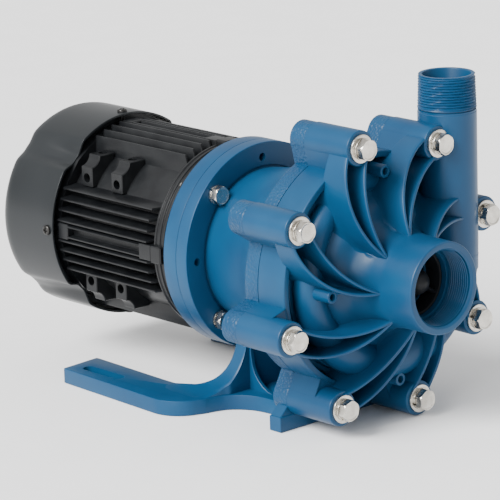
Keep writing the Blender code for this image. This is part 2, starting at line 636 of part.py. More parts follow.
def build_fan_cowl():
    cowl = profile_along_shaft("fan_cowl", cowl_outline(COWL_RADIUS), COWL_FRONT, COWL_BACK - 9.0)
    crown = turned("cowl_crown", [
        (0.0, COWL_BACK - 9.2), (82.4, COWL_BACK - 9.2), (81.0, COWL_BACK - 4.0), (76.0, COWL_BACK),
        (0.0, COWL_BACK)], 32)
    join(cowl, crown)
    cut(cowl, profile_along_shaft("cowl_hollow", cowl_outline(COWL_RADIUS - COWL_WALL),
                                  COWL_FRONT - 5.0, COWL_BACK - 9.0 - COWL_WALL))
    cut(cowl, turned("crown_hollow", [
        (0.0, 320.0), (79.0, 320.0), (79.0, COWL_BACK - 6.0), (74.5, COWL_BACK - COWL_WALL),
        (0.0, COWL_BACK - COWL_WALL)], 32))
    for turn in range(6):
        spoke = math.radians(60.0 * turn)
        for inner, outer in ((16.0, 38.0), (44.0, 66.0)):
            gap = math.degrees(4.0 / ((inner + outer) / 2))
            window = arc((0, 0), outer, gap, 60.0 - gap, 2) + arc((0, 0), inner, 60.0 - gap, gap, 2)
            cut(cowl, plate(f"grille_{turn}_{int(inner)}", window, COWL_BACK - 8.0, COWL_BACK + 5.0,
                            along_shaft() @ Matrix.Rotation(spoke, 4, "Z")))
    finish(cowl, black_metal)
    for quarter in range(4):
        outward = Matrix.Translation((0.0, 274.0 * MM, SHAFT_HEIGHT * MM)) \
            @ Matrix.Rotation(quarter * QUARTER_TURN, 4, "Y")
        cut(cowl, rod(f"cowl_screw_hole_{quarter}", 2.5, 80.0, 95.0, 10, outward))
        screw = turned(f"cowl_screw_{quarter + 1}", [
            (0.0, 90.4), (2.8, 90.2), (4.4, 88.4), (2.1, 88.4), (2.1, 76.0), (0.0, 76.0)], 12, outward)
        cut(bpy.data.objects["rear_end_shield"], rod(f"shield_hole_{quarter}", 2.5, 60.0, 80.0, 10, outward))
        finish(screw, black_metal)


def build_terminal_box():
    """Conduit box on the frame's far side, its lid and the gland that the supply cable would enter by."""
    low, high = SHAFT_HEIGHT - 45.0, SHAFT_HEIGHT + 25.0
    box = block("terminal_box", (FIN_RADIUS + GAP, 170.0, low), (112.0, 238.0, high))
    cut(box, block("box_hollow", (87.0, 174.0, low + 4.0), (115.0, 234.0, high - 4.0)))
    entry = Matrix.Translation((99.0 * MM, 0.0, 0.0))
    down = entry @ Matrix.Translation((0.0, 204.0 * MM, 0.0))
    cut(box, rod("gland_hole", 8.3, low - 5.0, low + 8.0, 16, down))
    finish(box, black_metal)
    lid = block("terminal_box_lid", (112.0 + GAP, 168.5, low - 1.5), (117.0, 239.5, high + 1.5))
    finish(lid, black_metal)
    gland = turned("cable_gland", [
        (4.5, low + 6.0), (8.0, low + 6.0), (8.0, low - GAP), (11.5, low - GAP), (11.5, low - 7.0),
        (9.5, low - 9.0), (9.5, low - 20.0), (7.0, low - 23.0), (4.5, low - 23.0)], 16, down)
    finish(gland, dark_plastic)


clear_scene()
parts = new_collection("centrifugal_water_pump")
cutters = new_collection("cutters")

blue_plastic = material("blue_plastic", (0.012, 0.130, 0.300), 0.42)
dark_plastic = material("dark_plastic", (0.020, 0.020, 0.022), 0.50)
black_metal = material("black_metal", (0.014, 0.016, 0.018), 0.45)
stainless = material("stainless", (0.56, 0.53, 0.48), 0.30, 1.0)
steel = material("steel", (0.42, 0.42, 0.43), 0.35, 1.0)
copper = material("copper", (0.50, 0.20, 0.08), 0.40, 1.0)
ceramic = material("ceramic", (0.80, 0.78, 0.72), 0.25)
carbon = material("carbon", (0.030, 0.030, 0.032), 0.40)
rubber = material("rubber", (0.015, 0.015, 0.015), 0.70)

build_front_casing()
build_ports()
build_shaft_support()
build_wet_end()
build_casing_bolts()
build_adapter()
build_adapter_bolts()
build_foot()
build_motor_frame()
build_end_shields()
build_windings()
build_motor_rotor()
build_bearings()
build_fan_cowl()
build_terminal_box()
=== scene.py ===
"""Looks of a magnetic-drive centrifugal pump: a moulded blue pump head and foot, stainless bolts, and a black
finned motor. Lengths inside a section are millimetres unless it says otherwise; MM makes them metres."""

import bpy
import json
import math
import numpy as np
from mathutils import Matrix, Vector


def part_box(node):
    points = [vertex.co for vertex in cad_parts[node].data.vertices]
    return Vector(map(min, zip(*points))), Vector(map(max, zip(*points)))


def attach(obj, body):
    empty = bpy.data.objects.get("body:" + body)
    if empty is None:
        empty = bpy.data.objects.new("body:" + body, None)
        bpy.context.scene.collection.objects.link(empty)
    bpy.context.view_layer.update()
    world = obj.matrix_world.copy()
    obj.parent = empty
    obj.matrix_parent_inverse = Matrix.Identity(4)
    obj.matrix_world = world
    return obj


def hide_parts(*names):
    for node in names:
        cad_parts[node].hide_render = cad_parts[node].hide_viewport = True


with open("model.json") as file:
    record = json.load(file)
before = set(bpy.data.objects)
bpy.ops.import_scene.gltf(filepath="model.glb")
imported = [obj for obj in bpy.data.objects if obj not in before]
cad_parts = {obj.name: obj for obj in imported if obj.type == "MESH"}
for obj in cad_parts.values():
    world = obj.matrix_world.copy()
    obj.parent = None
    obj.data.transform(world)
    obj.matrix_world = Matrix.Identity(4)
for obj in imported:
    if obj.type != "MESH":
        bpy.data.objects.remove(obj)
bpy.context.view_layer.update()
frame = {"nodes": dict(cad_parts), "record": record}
MM = 0.001


# ---------------------------------------------------------------- camera
# A long lens, level with the top of the pump, sees the suction side from the left and slightly above.
AZIMUTH, ELEVATION, ROLL = map(math.radians, (42.19, 14.58, -1.66))
EYE = Vector((-1.8619, -1.9380, 0.8375))
LENS_MM, SENSOR_MM = 248.09, 36.0

backward = Vector((-math.sin(AZIMUTH) * math.cos(ELEVATION), -math.cos(AZIMUTH) * math.cos(ELEVATION),
                   math.sin(ELEVATION)))
level = Vector((math.cos(AZIMUTH), -math.sin(AZIMUTH), 0.0))
lifted = backward.cross(level)
right = math.cos(ROLL) * level + math.sin(ROLL) * lifted
upward = math.cos(ROLL) * lifted - math.sin(ROLL) * level
lens = bpy.data.cameras.new("camera")
lens.lens = LENS_MM
lens.sensor_width = SENSOR_MM
lens.clip_end = 20.0
camera = bpy.data.objects.new("camera", lens)
bpy.context.scene.collection.objects.link(camera)
camera.matrix_world = Matrix.Translation(EYE) @ Matrix((right, upward, backward)).transposed().to_4x4()
bpy.context.scene.camera = camera


# ---------------------------------------------------------------- front casing
# One injection moulding of blue glass-filled polypropylene: suction boss, hub, web, rim and ribs.
# It is clamped to the adapter by eight bolts through the tall bosses round its rim.
shaft_low, shaft_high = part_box("pump_shaft")
AXIS_Z = (shaft_low.z + shaft_high.z) / 2 / MM
SUCTION_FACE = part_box("suction_socket")[0].y / MM
SUCTION_RADIUS, SUCTION_BORE = 37.4, 30.8
RIM_RADIUS, RIM_FRONT, RIM_INSIDE = 98.0, -30.0, 92.0
PARTING = -0.15
THREAD_PITCH, THREAD_DEPTH = 2.209, 1.25
THREAD_START, THREAD_END = SUCTION_FACE + 2.6, -84.0


def wave(turns):
    """A triangle wave that rises and falls once a turn, from 0 to 1."""
    return np.abs((turns % 1.0) * 2.0 - 1.0)


def eased(value, low, high):
    """0 below low, 1 above high, and a smooth S between them."""
    t = np.clip((value - low) / (high - low), 0.0, 1.0)
    return t * t * (3.0 - 2.0 * t)


def rounded(corners, steps=4):
    """A path through (a, b, fillet) corners: each corner is a quarter-like curve that starts and ends one
    fillet away from it, the quadratic blend of the two sides."""
    points = []
    for index, (a, b, fillet) in enumerate(corners):
        here = np.array((a, b), float)
        before, after = corners[index - 1], corners[(index + 1) % len(corners)]
        ends = []
        for other in (before, after):
            side = np.array(other[:2], float) - here
            length = np.linalg.norm(side)
            ends.append(here + side / length * min(fillet, 0.48 * length))
        if fillet <= 0.0:
            points.append(here)
            continue
        for t in np.linspace(0.0, 1.0, steps + 1):
            points.append((1 - t) ** 2 * ends[0] + 2 * t * (1 - t) * here + t ** 2 * ends[1])
    return np.array(points)


def densified(path, longest):
    """The closed path with extra points, so that no step is longer than the given length."""
    spans = []
    for start, end in zip(path, np.roll(path, -1, axis=0)):
        count = max(1, int(math.ceil(np.linalg.norm(end - start) / longest)))
        spans.append(start + (end - start) * (np.arange(count) / count)[:, None])
    return np.concatenate(spans)


def grid_faces(rows, columns, closed_rows=False, closed_columns=True):
    """Quads between neighbouring points of a rows by columns grid, wrapped where it closes."""
    r = np.arange(rows if closed_rows else rows - 1)
    c = np.arange(columns if closed_columns else columns - 1)
    r, c = (part.ravel() for part in np.meshgrid(r, c, indexing="ij"))
    r_next, c_next = (r + 1) % rows, (c + 1) % columns
    return np.stack((r * columns + c, r * columns + c_next, r_next * columns + c_next,
                     r_next * columns + c), axis=1)


def spun(path, steps=96, ripple=None, centre=(0.0, None)):
    """A closed (radius, station) path spun round an axis along Y: x = r cos a, z = r sin a, y = station.
    ripple(angle, station) is added to the radius."""
    angle = np.arange(steps) * 2.0 * np.pi / steps
    radius = np.repeat(path[:, :1], steps, axis=1)
    station = np.repeat(path[:, 1:2], steps, axis=1)
    if ripple is not None:
        radius = radius + ripple(angle[None, :], station, radius)
    x_axis, z_axis = centre[0], AXIS_Z if centre[1] is None else centre[1]
    points = np.stack((x_axis + radius * np.cos(angle), station, z_axis + radius * np.sin(angle)), axis=-1)
    return points.reshape(-1, 3), grid_faces(len(path), steps, closed_rows=True)


def together(*surfaces):
    """Several (points, faces) surfaces as one, with the later faces numbered on."""
    points, faces, offset = [], [], 0
    for more_points, more_faces in surfaces:
        points.append(more_points)
        faces += [[corner + offset for corner in face] for face in np.asarray(more_faces).tolist()] \
            if isinstance(more_faces, np.ndarray) else [[c + offset for c in face] for face in more_faces]
        offset += len(more_points)
    return np.concatenate(points), faces


def piece(name, surface, look, body="root", replaces=(), sharp=32.0, outward=True):
    """Makes a mesh piece from (points, faces) in millimetres, shaded smooth but for its sharp edges."""
    points, faces = surface
    mesh = bpy.data.meshes.new(name)
    mesh.from_pydata((np.asarray(points) * MM).tolist(), [], np.asarray(faces).tolist()
                     if isinstance(faces, np.ndarray) else faces)
    mesh.validate()
    if outward:
        turn_outward(mesh)
    mesh.shade_smooth()
    mesh.set_sharp_from_angle(angle=math.radians(sharp))
    mesh.materials.append(look)
    made = bpy.data.objects.new(name, mesh)
    bpy.context.scene.collection.objects.link(made)
    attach(made, body)
    if replaces:
        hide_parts(*replaces)
    return made


def turn_outward(mesh):
    """Merges doubles and turns the faces of every closed shell outwards."""
    import bmesh
    shell = bmesh.new()
    shell.from_mesh(mesh)
    bmesh.ops.remove_doubles(shell, verts=shell.verts, dist=1e-6)
    bmesh.ops.recalc_face_normals(shell, faces=shell.faces)
    shell.to_mesh(mesh)
    shell.free()


def mottled(name, dark, light, roughness, metallic=0.0, grain=900.0, bump=0.05, cloud=18.0, uneven=0.08,
            stipple=None):
    """A finish with a slow cloudy colour change between two tones, a fine grain in the bump, and slightly
    uneven gloss. stipple is (first station, last station) of a rough-cast band, in metres along Y."""
    look = bpy.data.materials.new(name)
    look.use_nodes = True
    nodes, links = look.node_tree.nodes, look.node_tree.links
    shader = nodes["Principled BSDF"]
    shader.inputs["Metallic"].default_value = metallic
    shader.inputs["Specular IOR Level"].default_value = 0.5 if metallic else 0.3
    place = nodes.new("ShaderNodeTexCoord")
    clouds = nodes.new("ShaderNodeTexNoise")
    clouds.inputs["Scale"].default_value = cloud
    clouds.inputs["Detail"].default_value = 5.0
    links.new(place.outputs["Object"], clouds.inputs["Vector"])
    tone = nodes.new("ShaderNodeValToRGB")
    tone.color_ramp.elements[0].position = 0.32
    tone.color_ramp.elements[0].color = (*dark, 1.0)
    tone.color_ramp.elements[1].position = 0.68
    tone.color_ramp.elements[1].color = (*light, 1.0)
    links.new(clouds.outputs["Fac"], tone.inputs["Fac"])
    links.new(tone.outputs["Color"], shader.inputs["Base Color"])
    gloss = nodes.new("ShaderNodeMapRange")
    gloss.inputs["To Min"].default_value = roughness - uneven
    gloss.inputs["To Max"].default_value = roughness + uneven
    links.new(clouds.outputs["Fac"], gloss.inputs["Value"])
    links.new(gloss.outputs["Result"], shader.inputs["Roughness"])
    fine = nodes.new("ShaderNodeTexNoise")
    fine.inputs["Scale"].default_value = grain
    fine.inputs["Detail"].default_value = 3.0
    links.new(place.outputs["Object"], fine.inputs["Vector"])
    raised = nodes.new("ShaderNodeBump")
    raised.inputs["Strength"].default_value = bump
    raised.inputs["Distance"].default_value = 0.0004
    links.new(fine.outputs["Fac"], raised.inputs["Height"])
    if stipple:
        axes = nodes.new("ShaderNodeSeparateXYZ")
        links.new(place.outputs["Object"], axes.inputs["Vector"])
        inside = None
        for edge, first in ((stipple[0], True), (stipple[1], False)):
            test = nodes.new("ShaderNodeMath")
            test.operation = "GREATER_THAN" if first else "LESS_THAN"
            test.inputs[1].default_value = edge
            links.new(axes.outputs["Y"], test.inputs[0])
            if inside is None:
                inside = test
                continue
            both = nodes.new("ShaderNodeMath")
            both.operation = "MULTIPLY"
            links.new(inside.outputs["Value"], both.inputs[0])
            links.new(test.outputs["Value"], both.inputs[1])
            inside = both
        pits = nodes.new("ShaderNodeTexVoronoi")
        pits.inputs["Scale"].default_value = 420.0
        links.new(place.outputs["Object"], pits.inputs["Vector"])
        masked = nodes.new("ShaderNodeMath")
        masked.operation = "MULTIPLY"
        links.new(pits.outputs["Distance"], masked.inputs[0])
        links.new(inside.outputs["Value"], masked.inputs[1])
        rough = nodes.new("ShaderNodeBump")
        rough.inputs["Strength"].default_value = 0.55
        rough.inputs["Distance"].default_value = 0.0010
        links.new(masked.outputs["Value"], rough.inputs["Height"])
        links.new(raised.outputs["Normal"], rough.inputs["Normal"])
        raised = rough
    links.new(raised.outputs["Normal"], shader.inputs["Normal"])
    return look


BLUE_DARK, BLUE_LIGHT = (0.0010, 0.038, 0.100), (0.0020, 0.053, 0.128)
blue_moulding = mottled("blue_moulding", BLUE_DARK, BLUE_LIGHT, 0.40, bump=0.08)


def web_front(radius):
    """Station of the casing web's front surface at a radius: three shallow terraces that step forward
    towards the volute, and the root of the hub."""
    return np.interp(radius, (38.0, 41.0, 48.0, 57.0, 66.0, 78.9, 79.1, 83.9, 84.1, 87.9, 88.1),
                     (-72.0, -58.0, -48.5, -43.5, -31.0, -26.0, -20.5, -20.5, -15.0, -15.0, -9.0))


def inner_thread(angle, station, radius):
    """Helical ridges inside the suction mouth: a triangle wave of the station over the pitch plus the angle,
    faded in at the mouth and out at the thread's end."""
    cut = THREAD_DEPTH * (wave(station / THREAD_PITCH - angle / (2 * np.pi)) - 0.5)
    fade = eased(station, THREAD_START, THREAD_START + 1.5) * (1 - eased(station, THREAD_END - 2.5, THREAD_END))
    return np.where(radius < SUCTION_BORE + 1.0, cut * fade, 0.0)


casing_path = rounded([
    (RIM_RADIUS, PARTING, 0.4), (RIM_RADIUS, RIM_FRONT, 1.2), (RIM_INSIDE + 0.6, RIM_FRONT, 0.9),
    (RIM_INSIDE, -9.0, 1.0), (88.4, -9.0, 1.0), (88.0, -15.0, 1.2), (84.3, -15.0, 1.0), (84.0, -20.5, 1.2),
    (79.3, -20.5, 1.0), (79.0, -26.0, 1.2), (66.0, -31.0, 4.0), (57.0, -43.5, 4.0), (47.0, -48.0, 4.0),
    (40.0, -60.0, 6.0),
    (SUCTION_RADIUS + 0.6, -76.0, 3.0), (SUCTION_RADIUS, SUCTION_FACE, 1.4), (32.6, SUCTION_FACE, 0.5),
    (SUCTION_BORE, SUCTION_FACE + 1.8, 0.3), (SUCTION_BORE, -84.0, 0.0), (28.2, -84.0, 0.5), (28.2, -64.2, 0.3),
    (24.2, -64.2, 0.5), (24.2, -42.5, 0.5), (56.0, -41.0, 1.0), (64.0, -27.0, 1.0), (80.5, -6.0, 0.5),
    (80.5, PARTING, 0.0)])
casing_path = densified(casing_path, 12.0)
fine_stations = np.arange(THREAD_START, THREAD_END, THREAD_PITCH / 8.0)
at_mouth = int(np.argmin(np.hypot(casing_path[:, 0] - SUCTION_BORE, casing_path[:, 1] - SUCTION_FACE - 2.0)))
keep = ~((casing_path[:, 0] < SUCTION_BORE + 0.05) & (casing_path[:, 0] > SUCTION_BORE - 0.05)
         & (casing_path[:, 1] > THREAD_START - 0.3) & (casing_path[:, 1] < THREAD_END - 0.2))
before = casing_path[:at_mouth + 1][keep[:at_mouth + 1]]
after = casing_path[at_mouth + 1:][keep[at_mouth + 1:]]
threads = np.stack((np.full(len(fine_stations), SUCTION_BORE), fine_stations), axis=1)
casing_path = np.concatenate((before, threads, after))
casing_body = spun(casing_path, 144, inner_thread)

# The ribs: two thin webs leave each boss along its sides and meet at one point on the hub, a third of a
# right angle further round. Their front edges are rounded and their roots flare into the web.
BOLT_CIRCLE, BOSS_RADIUS, BOSS_FACE = 113.0, 14.5, -49.0
BOSS_ANGLES = [105.5 - 45.0 * k for k in range(8)]
RIB_SWIRL, RIB_TIP_RADIUS, RIB_TIP_FRONT, RIB_HALF = 34.0, 36.5, -77.0, 1.35


def polar(radius, degrees):
    return np.array((radius * math.cos(math.radians(degrees)), radius * math.sin(math.radians(degrees))))


def rib_surface(angle, side, stations=30):
    """A rib as a grid: along it, a circular arc from the boss's side to the hub; across it, a section that
    runs up one flank, over the rounded front edge and down the other, and flares at the root."""
    start = polar(BOLT_CIRCLE - 2.0, angle) + polar(BOSS_RADIUS - RIB_HALF, angle + 90.0 * side)
    tip = polar(RIB_TIP_RADIUS, angle + RIB_SWIRL)
    chord = tip - start
    lean = math.atan2(chord[1], chord[0])
    end = math.radians(angle + RIB_SWIRL + (180.0 if side > 0 else 155.0))
    half_turn = (end - lean + math.pi) % (2 * math.pi) - math.pi
    t = np.linspace(0.0, 1.0, stations)
    reach = np.linalg.norm(chord) * np.sin(t * half_turn) / math.sin(half_turn)
    bearing = lean + (t - 1.0) * half_turn
    middle = start + np.stack((reach * np.cos(bearing), reach * np.sin(bearing)), axis=1)
    heading = lean + (2.0 * t - 1.0) * half_turn
    across = np.stack((-np.sin(heading), np.cos(heading)), axis=1)
    radius = np.linalg.norm(middle, axis=1)
    front = BOSS_FACE + 0.4 + (RIB_TIP_FRONT - BOSS_FACE) * t ** 1.25
    outside = radius > RIM_INSIDE - 1.0
    root = np.where(outside, RIM_FRONT + 2.0, np.maximum(web_front(radius), front + 6.0) + 3.0)
    level_up = np.array((0.0, 0.10, 0.22, 0.5, 0.85))
    flare = np.array((3.4, 1.7, 0.75, 0.35, 0.1))
    cap = np.linspace(0.0, np.pi, 7)
    flare = RIB_HALF + flare * np.where(outside, 0.0, 1.0)[:, None]
    crest = np.tile(RIB_HALF * np.cos(cap), (stations, 1))
    sideways = np.concatenate((flare, crest, -flare[:, ::-1]), axis=1)
    height = root[:, None] + (front + RIB_HALF - root)[:, None] * level_up[None, :]
    crown = (front + RIB_HALF)[:, None] - RIB_HALF * np.sin(cap)[None, :]
    station = np.concatenate((height, crown, height[:, ::-1]), axis=1)
    flat = middle[:, None, :] + across[:, None, :] * sideways[:, :, None]
    points = np.stack((flat[..., 0], station, AXIS_Z + flat[..., 1]), axis=-1)
    columns = points.shape[1]
    faces = grid_faces(stations, columns).tolist()
    faces.append(list(range(columns)))
    faces.append(list(range((stations - 1) * columns, stations * columns)))
    return points.reshape(-1, 3), faces


ribs = [rib_surface(angle, side) for angle in BOSS_ANGLES for side in (-1, 1)]


def boss_surface(angle, radius, front, back, steps=40):
    """A bolt boss: a circle carried along Y, with a small round at its front edge and a lobe that reaches in
    to the rim behind it. Across, the outline is r = radius, stretched towards the shaft behind the rim."""
    path = [(radius, back, 0.0), (radius, front, 1.1), (5.6, front, 0.4)]
    path += [(5.4, back, 0.0)] if front < 0 else [(5.4, back - 2.4, 0.0), (0.05, back - 2.4, 0.0), (0.05, back, 0.0)]
    path = rounded(path)
    centre = polar(BOLT_CIRCLE, angle)
    barrel = spun(densified(path, 6.0), steps, None, (centre[0], AXIS_Z + centre[1]))
    inward, sideways = polar(1.0, angle + 180.0), polar(1.0, angle + 90.0)
    lobe_front = max(front, RIM_FRONT - 0.4) if front < 0 else front
    outline = rounded([(0.0, radius - 0.2, 0.0), (0.0, -radius + 0.2, 0.0), (17.0, -radius - 0.6, 0.0),
                       (17.0, radius + 0.6, 0.0)])
    flat = centre + outline[:, :1] * inward + outline[:, 1:] * sideways
    stations = (lobe_front + 0.8, lobe_front, back) if front < 0 else (front, back - 1.1, back - 0.3)
    rings = [np.stack((flat[:, 0], np.full(len(flat), y), AXIS_Z + flat[:, 1]), axis=1) for y in stations]
    faces = grid_faces(3, len(flat)).tolist() + [list(range(len(flat))), list(range(2 * len(flat), 3 * len(flat)))]
    return together(barrel, (np.concatenate(rings), faces))


bosses = [boss_surface(angle, BOSS_RADIUS, BOSS_FACE, PARTING) for angle in BOSS_ANGLES]

# Three small tubular pilot bosses stand on the web, between the ribs.
PILOTS = ((-71.0, -2.0, -57.0), (13.0, -90.0, -46.0), (2.0, 84.0, -44.0))
pilot_path = [(5.7, -12.0, 0.0), (5.4, 0.0, 0.8), (2.9, 0.0, 0.5), (2.7, 14.0, 0.0), (0.2, 14.0, 0.0),
              (0.2, 30.0, 0.0), (5.8, 30.0, 0.0)]
pilots = [spun(rounded([(r, front + y, f) for r, y, f in pilot_path[1:]]), 32, None, (x, AXIS_Z + z))
          for x, z, front in PILOTS]

# The volute: a tube that grows from its tongue near the top, anticlockwise round the impeller, and leaves
# upward on the right as the discharge pipe, whose end has a tapered male pipe thread.
DISCHARGE_X, DISCHARGE_Y = 81.7, -35.0
DISCHARGE_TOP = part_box("discharge_pipe")[1].z / MM
DISCHARGE_RADIUS, DISCHARGE_BORE = 24.13, 19.6
TONGUE, TONGUE_RADIUS = 76.0, 8.5
OUTER_THREAD_LENGTH = 27.5

sweep = np.linspace(TONGUE, 360.0, 100)
way = (sweep - TONGUE) / (360.0 - TONGUE)
grown = TONGUE_RADIUS + (DISCHARGE_RADIUS - TONGUE_RADIUS) * way ** 1.35
cap = np.sqrt(np.clip(1.0 - (1.0 - np.clip((sweep - TONGUE) / 8.0, 0.0, 1.0)) ** 2, 0.0, 1.0))
tube_radius = np.maximum(grown * cap, 0.01)
outer_edge = 83.0 + (DISCHARGE_X + DISCHARGE_RADIUS - 83.0) * eased(sweep, 215.0, 360.0)
middle_radius = outer_edge - grown
bearing = np.radians(sweep)
middles = np.stack((middle_radius * np.cos(bearing), -25.0 + (DISCHARGE_Y + 25.0) * way,
                    AXIS_Z + middle_radius * np.sin(bearing)), axis=1)
outward_axis = np.stack((np.cos(bearing), np.zeros_like(bearing), np.sin(bearing)), axis=1)
around = np.linspace(0.0, 2 * np.pi, 64, endpoint=False)
volute = middles[:, None, :] + tube_radius[:, None, None] * (
    np.cos(around)[None, :, None] * outward_axis[:, None, :]
    + np.sin(around)[None, :, None] * np.array((0.0, -1.0, 0.0)))
volute_faces = grid_faces(len(sweep), 64).tolist() + [list(range(64)), list(range(99 * 64, 100 * 64))]


def upright_spun(path, steps, x, y, ripple=None):
    """A closed (radius, height) path spun round an upright axis at x, y; ripple adds to the radius."""
    angle = np.arange(steps) * 2.0 * np.pi / steps
    radius = np.repeat(path[:, :1], steps, axis=1)
    height = np.repeat(path[:, 1:2], steps, axis=1)
    if ripple is not None:
        radius = radius + ripple(angle[None, :], height, radius)
    points = np.stack((x + radius * np.cos(angle), y + radius * np.sin(angle), height), axis=-1)
    return points.reshape(-1, 3), grid_faces(len(path), steps, closed_rows=True)


def outer_thread(angle, height, radius):
    """Helical grooves round the pipe's end: a triangle wave of the height over the pitch plus the angle,
    with a one in thirty-two taper."""
    low = DISCHARGE_TOP - OUTER_THREAD_LENGTH
    cut = -THREAD_DEPTH * wave(height / THREAD_PITCH - angle / (2 * np.pi))
    fade = eased(height, low, low + 1.2) * (1 - eased(height, DISCHARGE_TOP - 2.6, DISCHARGE_TOP - 1.6))
    taper = -np.clip(height - low, 0.0, None) / 32.0
    return np.where(radius > DISCHARGE_RADIUS - 1.0, cut * fade + taper, 0.0)


groove = DISCHARGE_TOP - OUTER_THREAD_LENGTH
pipe_sides = np.concatenate((
    np.array([(DISCHARGE_BORE, 128.0), (DISCHARGE_RADIUS - 0.3, 112.0), (DISCHARGE_RADIUS - 0.1, 130.0)]),
    np.stack((np.full(12, DISCHARGE_RADIUS), np.linspace(134.0, groove - 4.6, 12)), axis=1),
    np.array([(DISCHARGE_RADIUS, groove - 3.4), (DISCHARGE_RADIUS - 0.35, groove - 3.0),
              (DISCHARGE_RADIUS - 0.35, groove - 1.6), (DISCHARGE_RADIUS - 1.5, groove - 1.2),
              (DISCHARGE_RADIUS - 1.5, groove - 0.3)]),
    np.stack((np.full(100, DISCHARGE_RADIUS), np.linspace(groove, DISCHARGE_TOP - 2.2, 100)), axis=1),
    np.array([(DISCHARGE_RADIUS - 0.99, DISCHARGE_TOP - 1.4), (23.0, DISCHARGE_TOP - 0.4),
              (22.6, DISCHARGE_TOP), (20.6, DISCHARGE_TOP), (19.9, DISCHARGE_TOP - 0.3),
              (DISCHARGE_BORE, DISCHARGE_TOP - 1.0), (DISCHARGE_BORE - 0.4, 190.0)])))
pipe = upright_spun(pipe_sides, 128, DISCHARGE_X, DISCHARGE_Y, outer_thread)

piece("front_casing_moulding", together(casing_body, *ribs, *bosses, *pilots, (volute.reshape(-1, 3), volute_faces),
                                        pipe), blue_moulding,
      replaces=["front_casing", "suction_socket", "discharge_pipe"])


# ---------------------------------------------------------------- shaft support
# A moulding pressed into the suction passage: a thin ring, three arms and the streamlined nose that holds the
# front end of the ceramic shaft. Its near-black colour is painted shade, darkening the passage inside the mouth.
painted_shade_moulding = mottled("painted_shade_moulding", (0.004, 0.005, 0.007), (0.008, 0.010, 0.013), 0.55, bump=0.12)
support_ring = spun(rounded([(27.6, -64.4, 0.3), (27.6, -79.9, 0.6), (25.2, -79.9, 0.6), (25.2, -64.4, 0.3)], 2), 96)
nose = spun(rounded([(8.4, -64.4, 0.2), (11.4, -64.4, 0.3), (11.2, -79.0, 3.0), (8.0, -86.0, 3.0), (2.0, -89.8, 1.5),
                     (0.05, -89.9, 0.0), (0.05, -74.2, 0.0), (8.4, -74.2, 0.2)], 5), 64)


def spider_arm(turn, steps=16):
    """A streamlined arm from the nose to the ring: a pointed oval section, half width 2 times the sine of the
    way round and half depth 6.4 times its cosine, carried outwards."""
    way = np.arange(steps) * 2.0 * np.pi / steps
    side, station = 2.0 * np.sin(way), -72.4 + 6.4 * np.cos(way)
    rings = [np.stack((side, station, np.full(steps, reach)), axis=1) for reach in (9.8, 16.0, 26.0)]
    faces = grid_faces(3, steps).tolist() + [list(range(steps)), list(range(2 * steps, 3 * steps))]
    points = np.concatenate(rings)
    return np.stack((points[:, 0] * math.cos(turn) + points[:, 2] * math.sin(turn), points[:, 1],
                     AXIS_Z - points[:, 0] * math.sin(turn) + points[:, 2] * math.cos(turn)), axis=1), faces


arms = [spider_arm(math.radians(120.0 * number)) for number in range(3)]
# Painted shade: the spider is drawn near-black so that the suction passage reads dark.
piece("shaft_spider", together(support_ring, nose, *arms), painted_shade_moulding,
      replaces=["shaft_support"])


# ---------------------------------------------------------------- bolts and washers
# Stainless hexagon-head screws: a chamfered head on a washer face, a split lock washer and a flat washer.
# The eight large ones clamp the casing to the adapter, the four smaller ones the adapter to the motor.
stainless = mottled("stainless", (0.50, 0.47, 0.42), (0.70, 0.67, 0.61), 0.24, metallic=1.0, grain=260.0,
                    bump=0.10, cloud=140.0, uneven=0.10)


def hex_head(x, z, front, back, across, turn=0.0, steps=72):
    """A hexagonal head: the radius is the hexagon's, (flat / 2) / cos of the angle from the nearest flat,
    or that of the chamfer cone where it is smaller, and the top is slightly domed."""
    angle = np.arange(steps) * 2.0 * np.pi / steps
    flat = across / 2.0
    hexagon = flat / np.cos((angle + math.radians(turn)) % (np.pi / 3) - np.pi / 6)
    depth = back - front
    rows = [(flat * 0.98, back, False), (flat * 0.98, back - 0.5, False), (99.0, back - 0.5, True)]
    rows += [(99.0, back - 0.5 - (depth - 2.0) * t, True) for t in (0.4, 0.8, 1.0)]
    rows += [(flat * 1.16 - 1.0 * t, front + 1.5 - 1.5 * t, True) for t in (0.25, 0.5, 0.75, 0.9, 1.0)]
    rows += [(flat * share, front - dome, False) for share, dome in ((0.90, 0.02), (0.84, -0.25), (0.8, -0.3),
                                                                     (0.4, -0.3), (0.002, -0.3))]
    points = []
    for limit, station, hexed in rows:
        radius = np.minimum(hexagon, limit) if hexed else np.full(steps, limit)
        points.append(np.stack((x + radius * np.cos(angle), np.full(steps, station),
                                z + radius * np.sin(angle)), axis=1))
    faces = grid_faces(len(rows), steps).tolist()
    faces += [list(range(steps)), list(range((len(rows) - 1) * steps, len(rows) * steps))]
    return np.concatenate(points), faces


def split_washer(x, z, front, back, inner, outer, gap_at):
    """A lock washer: a square section carried round 350 degrees and lifted by a slight helix."""
    angle = np.radians(gap_at + np.linspace(6.0, 354.0, 60))
    lift = np.linspace(-0.25, 0.25, 60)
    section = rounded([(outer, front, 0.25), (inner, front, 0.25), (inner, back, 0.25), (outer, back, 0.25)], 2)
    radius = section[:, 0][None, :] + 0.0 * angle[:, None]
    station = section[:, 1][None, :] + lift[:, None] * 0.5
    points = np.stack((x + radius * np.cos(angle)[:, None], station, z + radius * np.sin(angle)[:, None]), axis=-1)
    count = len(section)
    faces = grid_faces(60, count).tolist() + [list(range(count)), list(range(59 * count, 60 * count))]
    return points.reshape(-1, 3), faces


def flat_washer(x, z, front, back, inner, outer):
    path = rounded([(outer, back, 0.15), (outer, front, 0.35), (inner, front, 0.2), (inner, back, 0.0)], 2)
    return spun(path, 48, None, (x, z))


